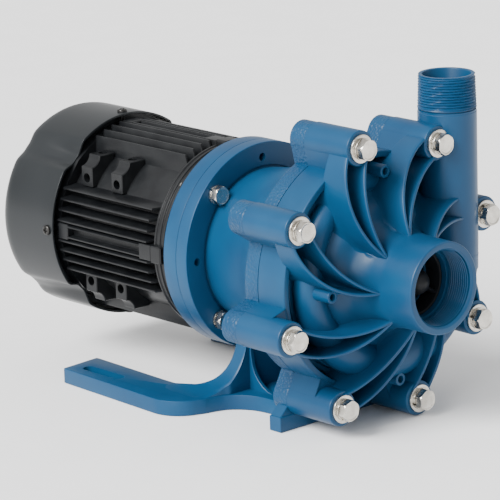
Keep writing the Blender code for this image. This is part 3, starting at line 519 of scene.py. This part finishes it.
HEAD_FRONT, HEAD_BACK, WASHER_FRONT, WASHER_BACK = -59.5, -53.3, -51.2, -49.1
for number, angle in enumerate(BOSS_ANGLES, start=1):
    x, z = polar(BOLT_CIRCLE, angle) + (0.0, AXIS_Z)
    turn = 17.0 * number
    shank = spun(rounded([(4.9, HEAD_BACK - 0.3, 0.0), (4.9, 13.5, 0.5), (0.05, 13.5, 0.0), (0.05, HEAD_BACK, 0.0)]),
                 24, None, (x, z))
    piece(f"casing_bolt_head_{number}", together(hex_head(x, z, HEAD_FRONT, HEAD_BACK, 16.0, turn), shank),
          stainless, replaces=[f"casing_bolt_{number}"])
    piece(f"casing_lock_washer_{number}", split_washer(x, z, -53.2, -51.3, 5.3, 8.9, 40.0 * number), stainless)
    piece(f"casing_flat_washer_{number}", flat_washer(x, z, WASHER_FRONT, WASHER_BACK, 5.3, 11.5), stainless,
          replaces=[f"casing_washer_{number}"])


# ---------------------------------------------------------------- motor adapter and ring
# The bell that joins the pump head to the motor: the same blue moulding, rough-cast round the joint, with a
# machined flange that four bolts hold, through a ring of the same plastic, to the motor's C-face.
adapter_low, adapter_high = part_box("motor_adapter")
ring_low, ring_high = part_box("adapter_ring")
FLANGE_BACK = adapter_high.y / MM
FLANGE_FRONT = FLANGE_BACK - 12.5
FLANGE_RADIUS = (ring_high.x - ring_low.x) / 2 / MM
FACE_CIRCLE = 74.6
STUB_BACK = 16.6
blue_rough_cast = mottled("blue_rough_cast", BLUE_DARK, BLUE_LIGHT, 0.42, bump=0.10, stipple=(0.0005, 0.0162))

bell_path = rounded([
    (RIM_RADIUS, 0.35, 0.4), (RIM_RADIUS, 15.2, 1.5), (91.0, 19.0, 5.0), (77.0, 42.0, 12.0), (69.0, 68.0, 12.0),
    (65.6, FLANGE_FRONT - 1.6, 1.0), (64.2, FLANGE_FRONT + 1.8, 0.6), (67.0, FLANGE_FRONT + 1.8, 0.5),
    (67.4, FLANGE_FRONT, 0.3), (FLANGE_RADIUS, FLANGE_FRONT, 0.9), (FLANGE_RADIUS, FLANGE_BACK, 0.4),
    (60.0, FLANGE_BACK, 0.0), (60.0, 68.0, 0.0), (70.0, 42.0, 0.0), (74.0, 20.0, 0.0), (74.0, 5.3, 0.0),
    (80.6, 5.3, 0.0), (80.6, 0.35, 0.0)], 5)
stubs = [boss_surface(angle, BOSS_RADIUS - 0.5, 0.35, STUB_BACK) for angle in BOSS_ANGLES]
adapter = piece("adapter_moulding", spun(densified(bell_path, 10.0), 128), blue_rough_cast,
                replaces=["motor_adapter"])
piece("adapter_bolt_stubs", together(*stubs), blue_rough_cast)


def drill(target, surfaces):
    """Cuts the closed surfaces out of a piece, and applies the cut."""
    for points, faces in surfaces:
        mesh = bpy.data.meshes.new("drill")
        mesh.from_pydata((np.asarray(points) * MM).tolist(), [], np.asarray(faces).tolist()
                         if isinstance(faces, np.ndarray) else faces)
        turn_outward(mesh)
        tool = bpy.data.objects.new("drill", mesh)
        bpy.context.scene.collection.objects.link(tool)
        cut = target.modifiers.new("cut", "BOOLEAN")
        cut.operation = "DIFFERENCE"
        cut.object = tool
        bpy.context.view_layer.update()
        graph = bpy.context.evaluated_depsgraph_get()
        done = bpy.data.meshes.new_from_object(target.evaluated_get(graph))
        target.modifiers.clear()
        target.data = done
        bpy.data.objects.remove(tool)
    target.data.shade_smooth()
    target.data.set_sharp_from_angle(angle=math.radians(32.0))


def solid_rod(x, z, radius, start, end, steps=32, phase=0.07):
    """A closed cylinder along Y: two rings and their two discs."""
    angle = np.arange(steps) * 2.0 * np.pi / steps + phase
    rings = [np.stack((x + radius * np.cos(angle), np.full(steps, y), z + radius * np.sin(angle)), axis=1)
             for y in (start, end)]
    faces = grid_faces(2, steps).tolist() + [list(range(steps)), list(range(steps, 2 * steps))]
    return np.concatenate(rings), faces


drill(adapter, [solid_rod(*(polar(FACE_CIRCLE, 90.0 * k) + (0.0, AXIS_Z)), 3.4, FLANGE_FRONT - 5.0, FLANGE_BACK + 5)
                for k in range(4)])
ring_path = rounded([(FLANGE_RADIUS, ring_high.y / MM, 0.5), (FLANGE_RADIUS, ring_low.y / MM, 0.4),
                     (57.5, ring_low.y / MM, 0.3), (57.5, ring_high.y / MM, 0.3)])
piece("adapter_ring_turned", spun(ring_path, 128), blue_moulding, replaces=["adapter_ring"])

for number, angle in enumerate((45, 135, 225, 315), start=1):
    x, z = polar(FACE_CIRCLE, angle) + (0.0, AXIS_Z)
    shank = spun(rounded([(4.6, FLANGE_FRONT - 2.6, 0.0), (4.6, 137.5, 0.5), (0.05, 137.5, 0.0),
                          (0.05, FLANGE_FRONT - 2.6, 0.0)]), 24, None, (x, z))
    head = hex_head(x, z, FLANGE_FRONT - 8.8, FLANGE_FRONT - 2.6, 14.3, 23.0 * number)
    lock = split_washer(x, z, FLANGE_FRONT - 2.5, FLANGE_FRONT - 0.2, 4.8, 7.9, 70.0 * number)
    piece(f"adapter_bolt_head_{number}", together(head, shank), stainless,
          replaces=[f"adapter_bolt_{number}"])
    piece(f"adapter_lock_washer_{number}", lock, stainless)


# ---------------------------------------------------------------- foot
# A separate blue moulding: a slotted U-shaped plate whose arms sweep up into the wall that carries the bell.
# Two bolts from below hold it to the adapter; thin gussets stiffen it towards the front bar.
foot_low, foot_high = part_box("support_foot")
FOOT_THICKNESS, WALL_FRONT, WALL_SWEEP, WALL_SWEEP_X = 12.5, 78.0, 50.0, 90.0
CROTCH_X, CROTCH_Y, CROTCH_RADIUS = 39.0, 120.5, 30.0
FOOT_BACK = foot_high.y / MM


def arc_points(centre, radius, start, end, steps):
    """Points along an arc in degrees, both ends included."""
    angle = np.radians(np.linspace(start, end, steps + 1))
    return np.stack((centre[0] + radius * np.cos(angle), centre[1] + radius * np.sin(angle)), axis=1)


def shrunk(path, depth):
    """The closed path moved inwards by depth: each point goes along the mean normal of its two sides."""
    ahead, behind = np.roll(path, -1, axis=0) - path, path - np.roll(path, 1, axis=0)
    ahead /= np.maximum(np.linalg.norm(ahead, axis=1, keepdims=True), 1e-9)
    behind /= np.maximum(np.linalg.norm(behind, axis=1, keepdims=True), 1e-9)
    along = ahead + behind
    along /= np.maximum(np.linalg.norm(along, axis=1, keepdims=True), 1e-9)
    turn = np.sum(path[:, 0] * np.roll(path[:, 1], -1) - np.roll(path[:, 0], -1) * path[:, 1])
    return path + np.stack((-along[:, 1], along[:, 0]), axis=1) * depth * np.sign(turn)


def slab(path, levels, axes=(0, 1, 2)):
    """A closed path stacked along a third axis: each level is (height, inset). axes says which coordinate
    the path's two values and the height go to. Both ends are capped."""
    rings = []
    for height, inset in levels:
        flat = shrunk(path, inset) if inset else path
        ring = np.zeros((len(path), 3))
        ring[:, axes[0]], ring[:, axes[1]], ring[:, axes[2]] = flat[:, 0], flat[:, 1], height
        rings.append(ring)
    count = len(path)
    faces = grid_faces(len(levels), count).tolist()
    faces += [list(range(count)), list(range((len(levels) - 1) * count, len(levels) * count))]
    return np.concatenate(rings), faces


right_half = np.concatenate((
    [(77.0, 0.7), (77.0, 13.5)],
    rounded([(77.0, 13.5, 0.0), (62.0, 14.5, 6.0), (49.5, 26.0, 9.0), (47.3, 46.0, 9.0), (50.5, 64.0, 9.0),
             (62.0, 79.0, 9.0), (78.0, 84.2, 5.0), (110.4, 88.0, 0.0)], 6)[1:-1],
    arc_points((80.5, 116.0), 30.0, -76, 4, 16),
    [(104.8, 237.6), (104.2, 239.6), (102.6, 240.2), (66.4, 243.2), (64.9, 242.4), (64.4, 240.6), (68.6, 150.0)],
    arc_points((CROTCH_X, CROTCH_Y), CROTCH_RADIUS, 0, -90, 14)))
foot_path = np.concatenate((right_half, (right_half * (-1.0, 1.0))[::-1]))
foot_plate = slab(foot_path, [(0.0, 0.0), (FOOT_THICKNESS - 0.9, 0.0), (FOOT_THICKNESS - 0.25, 0.25),
                              (FOOT_THICKNESS, 0.9)])

# The wall's outline runs up one concave end, under the bell and down the other end.
end_arc = arc_points((-WALL_SWEEP_X, FOOT_THICKNESS + WALL_SWEEP), WALL_SWEEP, -86, 0, 40)
under_bell = np.linspace(-40.0, 40.0, 25)
under_bell = np.stack((under_bell, AXIS_Z - np.sqrt(64.3 ** 2 - under_bell ** 2)), axis=1)
wall_line = np.concatenate((end_arc, under_bell, (end_arc * (-1.0, 1.0))[::-1]))
out = np.abs(wall_line[:, 0])
wall_back = np.where(out < CROTCH_X, CROTCH_Y - CROTCH_RADIUS,
                     CROTCH_Y - np.sqrt(np.clip(CROTCH_RADIUS ** 2 - (out - CROTCH_X) ** 2, 0.0, None)))
wall_back = np.where(out > CROTCH_X + CROTCH_RADIUS - 0.5, 142.0, wall_back)
wall_front = np.interp(out, (0.0, 60.0, 64.0, 78.0, 90.0), (WALL_FRONT, WALL_FRONT + 0.3, 80.6, 85.0, 88.0))
across = np.concatenate(([0.0, 0.0, 0.09], np.linspace(0.1, 0.9, 14), [0.91, 1.0, 1.0]))
drop = np.concatenate(([99.0, 1.0, 0.0], np.zeros(14), [0.0, 1.0, 99.0]))
wall_y = wall_front[:, None] + (wall_back - wall_front)[:, None] * across[None, :]
wall_height = FOOT_THICKNESS + (wall_line[:, 1] - FOOT_THICKNESS)[:, None] * (1.0 - eased(wall_y, 100.0, 142.0))
wall_height = np.where(drop[None, :] > 50.0, 6.0, wall_height - drop[None, :] - 0.05)
wall_points = np.stack((np.repeat(wall_line[:, :1], len(across), axis=1), wall_y, wall_height), axis=-1)
wall_faces = grid_faces(len(wall_line), len(across)).tolist()
wall_faces += [list(range(len(across))),
               list(range((len(wall_line) - 1) * len(across), len(wall_line) * len(across)))]
foot_wall = (wall_points.reshape(-1, 3), wall_faces)

gusset_path = np.array([(80.0, 8.0), (80.0, 60.0), (77.2, 60.0), (76.6, 42.0), (75.2, 33.0), (72.6, 26.5),
                        (68.6, 21.2), (63.5, 16.9), (57.5, 13.8), (51.0, 12.3), (49.5, 8.0)])
middle_path = np.array([(12.0, 8.0), (79.0, 8.0), (79.0, 58.0), (68.0, 57.0), (42.0, 48.0), (19.0, 35.0), (12.0, 28.0)])
bar_line = np.linspace(61.0, -61.0, 21)
web_path = np.concatenate(([(-76.2, 8.0), (76.2, 8.0), (76.2, 12.4), (62.0, 26.5)],
                           np.stack((bar_line, AXIS_Z - np.sqrt(97.0 ** 2 - bar_line ** 2)), axis=1),
                           [(-62.0, 26.5), (-76.2, 12.4)]))
stiffeners = [slab(web_path, [(1.6, 0.6), (2.2, 0.0), (12.8, 0.0), (13.4, 0.6)], (0, 2, 1)),
              slab(middle_path, [(-3.0, 0.5), (-2.5, 0.0), (2.5, 0.0), (3.0, 0.5)], (1, 2, 0))]
for side in (-1.0, 1.0):
    levels = [(side * 36.5 - 1.9, 0.5), (side * 36.5 - 1.4, 0.0), (side * 36.5 + 1.4, 0.0), (side * 36.5 + 1.9, 0.5)]
    stiffeners.append(slab(gusset_path, levels, (1, 2, 0)))
    stiffeners.append(upright_spun(np.array([(10.0, 8.0), (10.0, 43.0), (4.4, 43.0), (4.4, 8.0)]), 32, side * 18.0, 28.0))


def slot_plug(x, near, far, half, low, high):
    """A tool with a slot's outline: two half circles joined by straight sides."""
    path = np.concatenate((arc_points((x, far), half, 0, 180, 16), arc_points((x, near), half, 180, 360, 16)))
    return slab(path, [(low, 0.0), (high, 0.0)])


foot = piece("foot_plate", foot_plate, blue_moulding, replaces=["support_foot"])
drill(foot, [slot_plug(side * 90.0, 185.0, 223.0, 5.2, -4.0, 18.0) for side in (-1.0, 1.0)]
      + [upright_spun(np.array([(8.4, -4.0), (8.4, 11.9), (0.02, 11.9), (0.02, -4.0)]), 32, side * 18.0, 28.0)
         for side in (-1.0, 1.0)])
piece("foot_wall_and_gussets", together(foot_wall, *stiffeners), blue_moulding)


# ---------------------------------------------------------------- motor frame
# Die-cast aluminium painted black: a tube with straight fins on four sides and stepped pads at the corners,
# each pad with a blind hole in its side and one in its top for screwing on feet.
black_paint = mottled("black_paint", (0.0035, 0.004, 0.005), (0.008, 0.009, 0.010), 0.38, grain=620.0, bump=0.22,
                      cloud=60.0)
frame_low, frame_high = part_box("motor_frame")
FRAME_FRONT, FRAME_BACK = frame_low.y / MM, frame_high.y / MM
FRAME_RADIUS, FIN_RADIUS, FIN_PITCH = 70.0, 82.8, 8.75


def fin_section():
    """One quarter of the frame's section as (across, height, root height) rows, from corner to corner.
    Each fin tapers to a rounded tip; the middle one is a channel between two thin walls."""
    rows = []

    def at(across, height):
        root = math.sqrt(FRAME_RADIUS ** 2 - across ** 2)
        rows.append((across, root if height is None else height, root))

    for across in (-49.4, -46.0, -42.0):
        at(across, None)
    for step in range(-4, 5):
        offset = step * FIN_PITCH
        if step:
            reach = math.sqrt(FIN_RADIUS ** 2 - (abs(offset) + 1.3) ** 2)
            for sideways, down in ((-2.3, None), (-1.7, 10.0), (-1.1, 0.9), (-0.6, 0.15), (0.0, 0.0), (0.6, 0.15),
                                   (1.1, 0.9), (1.7, 10.0), (2.3, None)):
                at(offset + sideways, None if down is None else max(reach - down, 0.0))
            continue
        for across, height in ((-6.3, None), (-5.6, 81.0), (-5.1, 82.0), (-4.1, 82.2), (-3.7, 81.6), (-3.2, 75.4),
                               (-2.7, 75.0), (0.0, 75.2), (2.7, 75.0), (3.2, 75.4), (3.7, 81.6), (4.1, 82.2),
                               (5.1, 82.0), (5.6, 81.0), (6.3, None)):
            at(across, height)
    for across in (42.0, 46.0):
        at(across, None)
    return np.array(rows)


quarter = fin_section()
stations = np.array((FRAME_FRONT, FRAME_FRONT + 2.0, FRAME_FRONT + 3.2, FRAME_FRONT + 6.5, FRAME_BACK))
raised = np.array((0.0, 0.0, 0.35, 1.0, 1.0))
sides = []
for number in range(4):
    turn = math.radians(90.0 * number)
    height = quarter[:, 2][None, :] + raised[:, None] * (quarter[:, 1] - quarter[:, 2])[None, :]
    across = np.repeat(quarter[None, :, 0], len(stations), axis=0)
    sides.append(np.stack((across * math.cos(turn) + height * math.sin(turn),
                           np.repeat(stations[:, None], len(quarter), axis=1),
                           AXIS_Z - across * math.sin(turn) + height * math.cos(turn)), axis=-1))
skin = np.concatenate(sides, axis=1)
flat = skin[0] - (0.0, 0.0, AXIS_Z)
inward = 64.5 / np.hypot(flat[:, 0], flat[:, 2])
bores = []
for station in (FRAME_BACK, FRAME_FRONT):
    bores.append(np.stack((flat[:, 0] * inward, np.full(len(flat), station), AXIS_Z + flat[:, 2] * inward), axis=1))
skin = np.concatenate((skin, np.array(bores)))
finned_tube = (skin.reshape(-1, 3), grid_faces(skin.shape[0], skin.shape[1], closed_rows=True))

pad_path = np.concatenate((
    [(44.0, 40.0), (60.0, 37.4), (62.7, 37.2), (63.5, 38.0), (63.5, 54.0)],
    arc_points((64.2, 64.2), 9.8, 263, 187, 8), [(54.0, 63.5), (38.0, 63.5), (37.2, 62.7), (38.0, 44.0)]))
pads, pad_holes = [], []


def turned_about_shaft(surface, turn):
    """The surface turned about the shaft axis; it is given with its height above the axis as z."""
    points, faces = surface
    x, y, z = points[:, 0], points[:, 1], points[:, 2]
    return np.stack((x * math.cos(turn) + z * math.sin(turn), y,
                     AXIS_Z - x * math.sin(turn) + z * math.cos(turn)), axis=1), faces


for number in range(4):
    turn = math.radians(90.0 * number)
    for station in (209.5, 248.0):
        levels = [(station - 7.0, 0.7), (station - 6.3, 0.0), (station + 6.3, 0.0), (station + 7.0, 0.7)]
        pads.append(turned_about_shaft(slab(pad_path, levels, (0, 2, 1)), turn))
        ring = np.array([(6.1, 60.0), (6.1, 63.9), (5.7, 64.3), (4.1, 64.3), (4.0, 60.0)])
        hole = np.array([(4.0, 52.0), (4.0, 70.0), (0.02, 70.0), (0.02, 52.0)])
        for shape, kept in ((ring, pads), (hole, pad_holes)):
            points, faces = upright_spun(shape, 24, 45.0, station)
            kept.append(turned_about_shaft((points, faces), turn))
            kept.append(turned_about_shaft((points[:, (2, 1, 0)], faces), turn))
    for start, stop in ((FRAME_FRONT + 1.0, FRAME_FRONT + 16.0), (FRAME_BACK - 13.0, FRAME_BACK - 1.0)):
        block_path = rounded([(-6.8, 70.0, 0.0), (6.8, 70.0, 0.0), (6.8, 82.4, 1.0), (-6.8, 82.4, 1.0)], 3)
        pads.append(turned_about_shaft(slab(block_path, [(start, 0.8), (start + 0.8, 0.0), (stop - 0.8, 0.0),
                                                         (stop, 0.8)], (0, 2, 1)), turn))

piece("frame_fins", finned_tube, black_paint, replaces=["motor_frame"])
frame_pads = piece("frame_pads", together(*pads), black_paint)
drill(frame_pads, [together(*pad_holes)])


# ---------------------------------------------------------------- motor end shields
# The front shield is a turned casting: a bare machined rim against the adapter ring, a gap, and a painted
# body with thin ridges and four lugs, each with a round-headed screw into the frame.
machined_rim = mottled("machined_rim", (0.13, 0.10, 0.085), (0.20, 0.165, 0.14), 0.34, metallic=0.7, grain=300.0,
                       bump=0.1)
shield_low, shield_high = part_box("front_end_shield")
MOTOR_FACE = 125.9
rim_path = rounded([(57.4, MOTOR_FACE, 0.0), (82.0, MOTOR_FACE, 0.4), (82.0, 130.4, 0.5), (79.0, 131.0, 0.3),
                    (57.4, 131.0, 0.0)])
piece("shield_rim", spun(rim_path, 128), machined_rim, replaces=["front_end_shield"])
shield_path = rounded([
    (58.0, 130.8, 0.0), (76.5, 130.8, 0.3), (76.5, 133.2, 0.3), (80.2, 133.4, 0.4), (80.2, 135.0, 0.4),
    (78.9, 135.4, 0.3), (78.9, 138.4, 0.3), (80.0, 138.8, 0.4), (80.0, 140.6, 0.4), (78.9, 141.0, 0.3),
    (78.9, 143.6, 0.3), (79.8, 144.0, 0.4), (79.8, 146.0, 0.4), (63.6, 146.0, 0.2), (63.6, 148.4, 0.2),
    (61.2, 148.4, 0.2), (61.0, 135.2, 0.5), (32.0, 133.2, 0.5), (28.0, 147.0, 0.5), (23.9, 147.0, 0.2),
    (23.9, 131.8, 0.2), (12.2, 131.8, 0.2), (12.2, 122.2, 0.2), (57.0, 122.2, 0.3), (57.0, 126.2, 0.0)])
lugs = []
for number in range(4):
    turn = math.radians(90.0 * number)
    lug_path = rounded([(-7.4, 72.0, 0.0), (7.4, 72.0, 0.0), (7.4, 83.7, 1.6), (-7.4, 83.7, 1.6)], 4)
    lugs.append(turned_about_shaft(slab(lug_path, [(133.8, 1.0), (134.8, 0.0), (145.4, 0.0), (146.0, 0.6)],
                                        (0, 2, 1)), turn))
piece("shield_body", together(spun(shield_path, 128), *lugs), black_paint)

screw_black = mottled("screw_black", (0.020, 0.020, 0.021), (0.060, 0.058, 0.055), 0.30, metallic=0.9, grain=300.0,
                      bump=0.1, cloud=120.0)


def pan_screw(radius, height):
    """A pan head with its cross recess, along +Z from zero: a domed disc whose middle is pressed in as
    height * (cross of two narrow bars), both as functions of the angle and the radius."""
    rings = np.array((1.0, 1.0, 0.97, 0.88, 0.76, 0.62, 0.5, 0.36, 0.22, 0.1, 0.02))
    rise = np.array((0.0, 0.45, 0.72, 0.90, 0.97, 1.0, 1.0, 1.0, 1.0, 1.0, 1.0))
    angle = np.arange(48) * 2.0 * np.pi / 48
    r = radius * rings[:, None]
    x, y = r * np.cos(angle)[None, :], r * np.sin(angle)[None, :]
    bar = np.minimum(np.abs(x), np.abs(y)) < 0.16 * radius
    pressed = np.where(bar & (rings[:, None] < 0.62), 0.5 * height, 0.0)
    z = height * rise[:, None] - pressed
    points = np.stack((x, y, z), axis=-1).reshape(-1, 3)
    faces = grid_faces(len(rings), 48).tolist()
    return points, faces + [list(range(48)), list(range(10 * 48, 11 * 48))]


for number in range(4):
    turn = math.radians(90.0 * number)
    points, faces = pan_screw(4.7, 3.4)
    head = np.stack((points[:, 0], 136.6 - points[:, 2], 76.0 + points[:, 1]), axis=1)
    shank = solid_rod(0.0, 76.0, 2.4, 136.4, 159.0, 20)
    name = "shield_screw_" + str({0: 2, 1: 1, 2: 4, 3: 3}[number])
    piece(name + "_head", turned_about_shaft(together((head, faces), shank), turn), screw_black,
          replaces=[name])


# ---------------------------------------------------------------- fan cowl
# Pressed steel, painted black: a drum that dips in at the frame's four corners, a rounded back edge and a
# grille of rings and spokes. Four screws through its front edge hold it to the rear shield.
cowl_low, cowl_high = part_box("fan_cowl")
COWL_FRONT, COWL_BACK, COWL_RADIUS, COWL_WALL = cowl_low.y / MM, cowl_high.y / MM, 87.9, 2.0
pressed_steel = mottled("pressed_steel", (0.008, 0.010, 0.011), (0.013, 0.015, 0.017), 0.32, grain=500.0, bump=0.10,
                        cloud=9.0)
profile = rounded([(COWL_RADIUS, COWL_FRONT, 0.5), (COWL_RADIUS, COWL_BACK, 13.0), (70.0, COWL_BACK, 0.3),
                   (70.0, COWL_BACK - 1.6, 0.3), (COWL_RADIUS - COWL_WALL, COWL_BACK - 1.8, 11.6),
                   (COWL_RADIUS - COWL_WALL, COWL_FRONT, 0.4)], 8)
profile = densified(profile, 7.0)
around = np.arange(240) * 2.0 * np.pi / 240
from_corner = np.abs(np.degrees(around) % 90.0 - 45.0)
dip = 1.0 - eased(from_corner, 2.0, 11.5)
fading = 1.0 - 0.60 * eased(profile[:, 1], COWL_FRONT + 2.0, COWL_BACK - 20.0)
fading = np.where(profile[:, 0] < 80.0, 0.0, fading)
drum_radius = profile[:, :1] - 8.0 * fading[:, None] * dip[None, :]
set_back = 3.4 * np.clip(1.0 - (profile[:, 1] - COWL_FRONT) / 9.0, 0.0, 1.0)
drum_station = profile[:, 1:2] + set_back[:, None] * dip[None, :]
drum = np.stack((drum_radius * np.cos(around), drum_station, AXIS_Z + drum_radius * np.sin(around)), axis=-1)
cowl_parts = [(drum.reshape(-1, 3), grid_faces(len(profile), 240, closed_rows=True))]
for radius in (14.0, 22.0, 30.0, 38.0, 46.0, 54.0, 62.0, 70.0):
    wire = np.array([(radius + 1.5, COWL_BACK - 1.8), (radius + 1.5, COWL_BACK - 0.2), (radius - 1.5, COWL_BACK - 0.2),
                     (radius - 1.5, COWL_BACK - 1.8)])
    cowl_parts.append(spun(wire, 96))
cowl_parts.append(spun(np.array([(15.0, COWL_BACK - 1.6), (15.0, COWL_BACK), (0.02, COWL_BACK), (0.02, COWL_BACK - 1.6)]), 64))
for number in range(4):
    spoke = np.array([(-1.8, -71.0), (1.8, -71.0), (1.8, 71.0), (-1.8, 71.0)])
    cowl_parts.append(turned_about_shaft(slab(spoke, [(COWL_BACK - 1.9, 0.0), (COWL_BACK - 0.1, 0.0)], (0, 2, 1)),
                                         math.radians(45.0 * number + 22.5)))
lip_reach = COWL_RADIUS - COWL_WALL - 1.4 - 6.9 * dip
lip_ring = np.array(((0.0, 277.6), (1.0, 277.6), (1.0, 279.4), (0.0, 279.4)))
lip_radius = 77.2 + lip_ring[:, :1] * (lip_reach - 77.2)[None, :]
lip = np.stack((lip_radius * np.cos(around), np.repeat(lip_ring[:, 1:], 240, axis=1),
                AXIS_Z + lip_radius * np.sin(around)), axis=-1)
cowl_parts.append((lip.reshape(-1, 3), grid_faces(4, 240, closed_rows=True)))
piece("cowl_drum", together(*cowl_parts), pressed_steel, replaces=["fan_cowl"])

for number in range(4):
    turn = math.radians(90.0 * number)
    points, faces = pan_screw(4.3, 2.4)
    head = np.stack((points[:, 0], 274.0 + points[:, 1], COWL_RADIUS - 0.1 + points[:, 2]), axis=1)
    shank, shank_faces = solid_rod(0.0, 274.0, 2.0, -(COWL_RADIUS), -76.5, 20)
    name = f"cowl_screw_{number + 1}"
    piece(name + "_head", turned_about_shaft(together((head, faces), (
        np.stack((shank[:, 0], shank[:, 2], -shank[:, 1]), axis=1), shank_faces)), turn), screw_black,
        replaces=[name])


# ---------------------------------------------------------------- terminal box
# On the frame's far side: a cast conduit box, its lid with four screws, and the gland that the supply cable
# enters by. The casting is painted like the frame; the gland is moulded nylon.
box_low, box_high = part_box("terminal_box")
lid_low, lid_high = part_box("terminal_box_lid")
gland_low, gland_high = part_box("cable_gland")
dark_plastic = mottled("dark_plastic", (0.016, 0.016, 0.018), (0.026, 0.026, 0.028), 0.50, bump=0.15)


def rounded_box(low, high, fillet, edge):
    """A box with rounded corners seen along X, and its two faces along X broken by a small edge."""
    y0, z0, y1, z1 = low.y / MM, low.z / MM, high.y / MM, high.z / MM
    path = rounded([(y0, z0, fillet), (y1, z0, fillet), (y1, z1, fillet), (y0, z1, fillet)], 6)
    x0, x1 = low.x / MM, high.x / MM
    return slab(path, [(x0, edge), (x0 + edge, 0.0), (x1 - edge, 0.0), (x1, edge)], (1, 2, 0))


piece("terminal_box_casting", rounded_box(box_low, box_high, 6.0, 0.8), black_paint,
      replaces=["terminal_box"])
piece("terminal_box_cover", rounded_box(lid_low, lid_high, 7.0, 1.3), black_paint,
      replaces=["terminal_box_lid"])
cover_screws = []
for y in (lid_low.y / MM + 7.0, lid_high.y / MM - 7.0):
    for z in (lid_low.z / MM + 7.0, lid_high.z / MM - 7.0):
        points, faces = pan_screw(3.2, 1.4)
        cover_screws.append((np.stack((lid_high.x / MM - 0.6 + points[:, 2], y + points[:, 0], z + points[:, 1]),
                                      axis=1), faces))
piece("terminal_box_screws", together(*cover_screws), stainless)
top, bottom = gland_high.z / MM, gland_low.z / MM
gland_path = rounded([(4.5, top - 0.2, 0.0), (8.0, top - 0.2, 0.3), (8.0, top - 6.4, 0.0), (10.9, top - 6.5, 0.5),
                      (10.9, top - 12.6, 0.5), (9.4, top - 13.4, 0.4), (9.6, bottom + 8.0, 1.0), (9.0, bottom + 2.0, 2.0),
                      (7.0, bottom, 0.8), (4.5, bottom, 0.5)], 4)


def nut_flats(angle, height, radius):
    """Six flats: the radius drops to that of a hexagon where the gland's collar and cap are gripped."""
    hexagon = 9.6 / np.cos(angle % (np.pi / 3) - np.pi / 6)
    gripped = (height < top - 6.4) & (height > bottom + 2.0) & (radius > 8.2)
    return np.where(gripped, np.minimum(hexagon - radius, 0.0), 0.0)


piece("gland_body", upright_spun(densified(gland_path, 2.0), 96, (gland_low.x + gland_high.x) / 2 / MM,
                                 (gland_low.y + gland_high.y) / 2 / MM, nut_flats), dark_plastic,
      replaces=["cable_gland"])


# ---------------------------------------------------------------- everything still in its CAD shape
# Pieces inside the pump and the motor, and outer ones whose machined shape needs no more than a finish.
turned_steel = mottled("turned_steel", (0.36, 0.36, 0.37), (0.50, 0.50, 0.51), 0.32, metallic=1.0, grain=500.0)
copper_wire = mottled("copper_wire", (0.42, 0.15, 0.05), (0.60, 0.25, 0.10), 0.38, metallic=1.0, grain=350.0,
                      bump=0.5)
alumina = mottled("alumina", (0.74, 0.72, 0.66), (0.84, 0.82, 0.77), 0.25, bump=0.02)
carbon_block = mottled("carbon_block", (0.022, 0.022, 0.024), (0.040, 0.040, 0.042), 0.38)
black_rubber = mottled("black_rubber", (0.012, 0.012, 0.012), (0.020, 0.020, 0.020), 0.68, bump=0.2)
FINISHES = {"blue_plastic": blue_moulding, "dark_plastic": dark_plastic, "black_metal": black_paint,
            "stainless": stainless, "steel": turned_steel, "copper": copper_wire, "ceramic": alumina,
            "carbon": carbon_block, "rubber": black_rubber}
for row in frame["record"]["subparts"]:
    node = frame["nodes"][row["node"]]
    node.data.materials.clear()
    node.data.materials.append(FINISHES[row["material_slot"]])


# ---------------------------------------------------------------- floor and light
# A pale studio sweep with one broad overhead light, a softer one from the left and a weak fill.
def area_light(name, place, aim, size, power):
    lamp = bpy.data.lights.new(name, "AREA")
    lamp.shape = "DISK"
    lamp.size = size
    lamp.energy = power
    made = bpy.data.objects.new(name, lamp)
    bpy.context.scene.collection.objects.link(made)
    made.location = place
    made.rotation_euler = (Vector(aim) - Vector(place)).to_track_quat("-Z", "Y").to_euler()


floor_mesh = bpy.data.meshes.new("floor")
floor_mesh.from_pydata([(-9, -9, -0.0005), (9, -9, -0.0005), (9, 9, -0.0005), (-9, 9, -0.0005)], [], [(0, 1, 2, 3)])
floor = bpy.data.objects.new("floor", floor_mesh)
bpy.context.scene.collection.objects.link(floor)
floor_mesh.materials.append(mottled("pale_floor", (0.92, 0.92, 0.92), (0.94, 0.94, 0.94), 0.75, bump=0.0, uneven=0.02))
world = bpy.data.worlds.new("studio")
world.use_nodes = True
world.node_tree.nodes["Background"].inputs["Color"].default_value = (1.0, 1.0, 1.0, 1.0)
world.node_tree.nodes["Background"].inputs["Strength"].default_value = 0.95
bpy.context.scene.world = world
sun = bpy.data.lights.new("broad_key", "SUN")
sun.energy = 6.5
sun.angle = math.radians(30.0)
key = bpy.data.objects.new("broad_key", sun)
bpy.context.scene.collection.objects.link(key)
key.rotation_euler = Vector((1.0, -0.08, -0.85)).to_track_quat("-Z", "Y").to_euler()
area_light("left_front", (-2.1, -0.9, 1.1), (0.0, 0.0, 0.12), 0.8, 20.0)
area_light("right_fill", (1.8, -1.0, 0.9), (0.0, 0.0, 0.12), 1.0, 2.0)
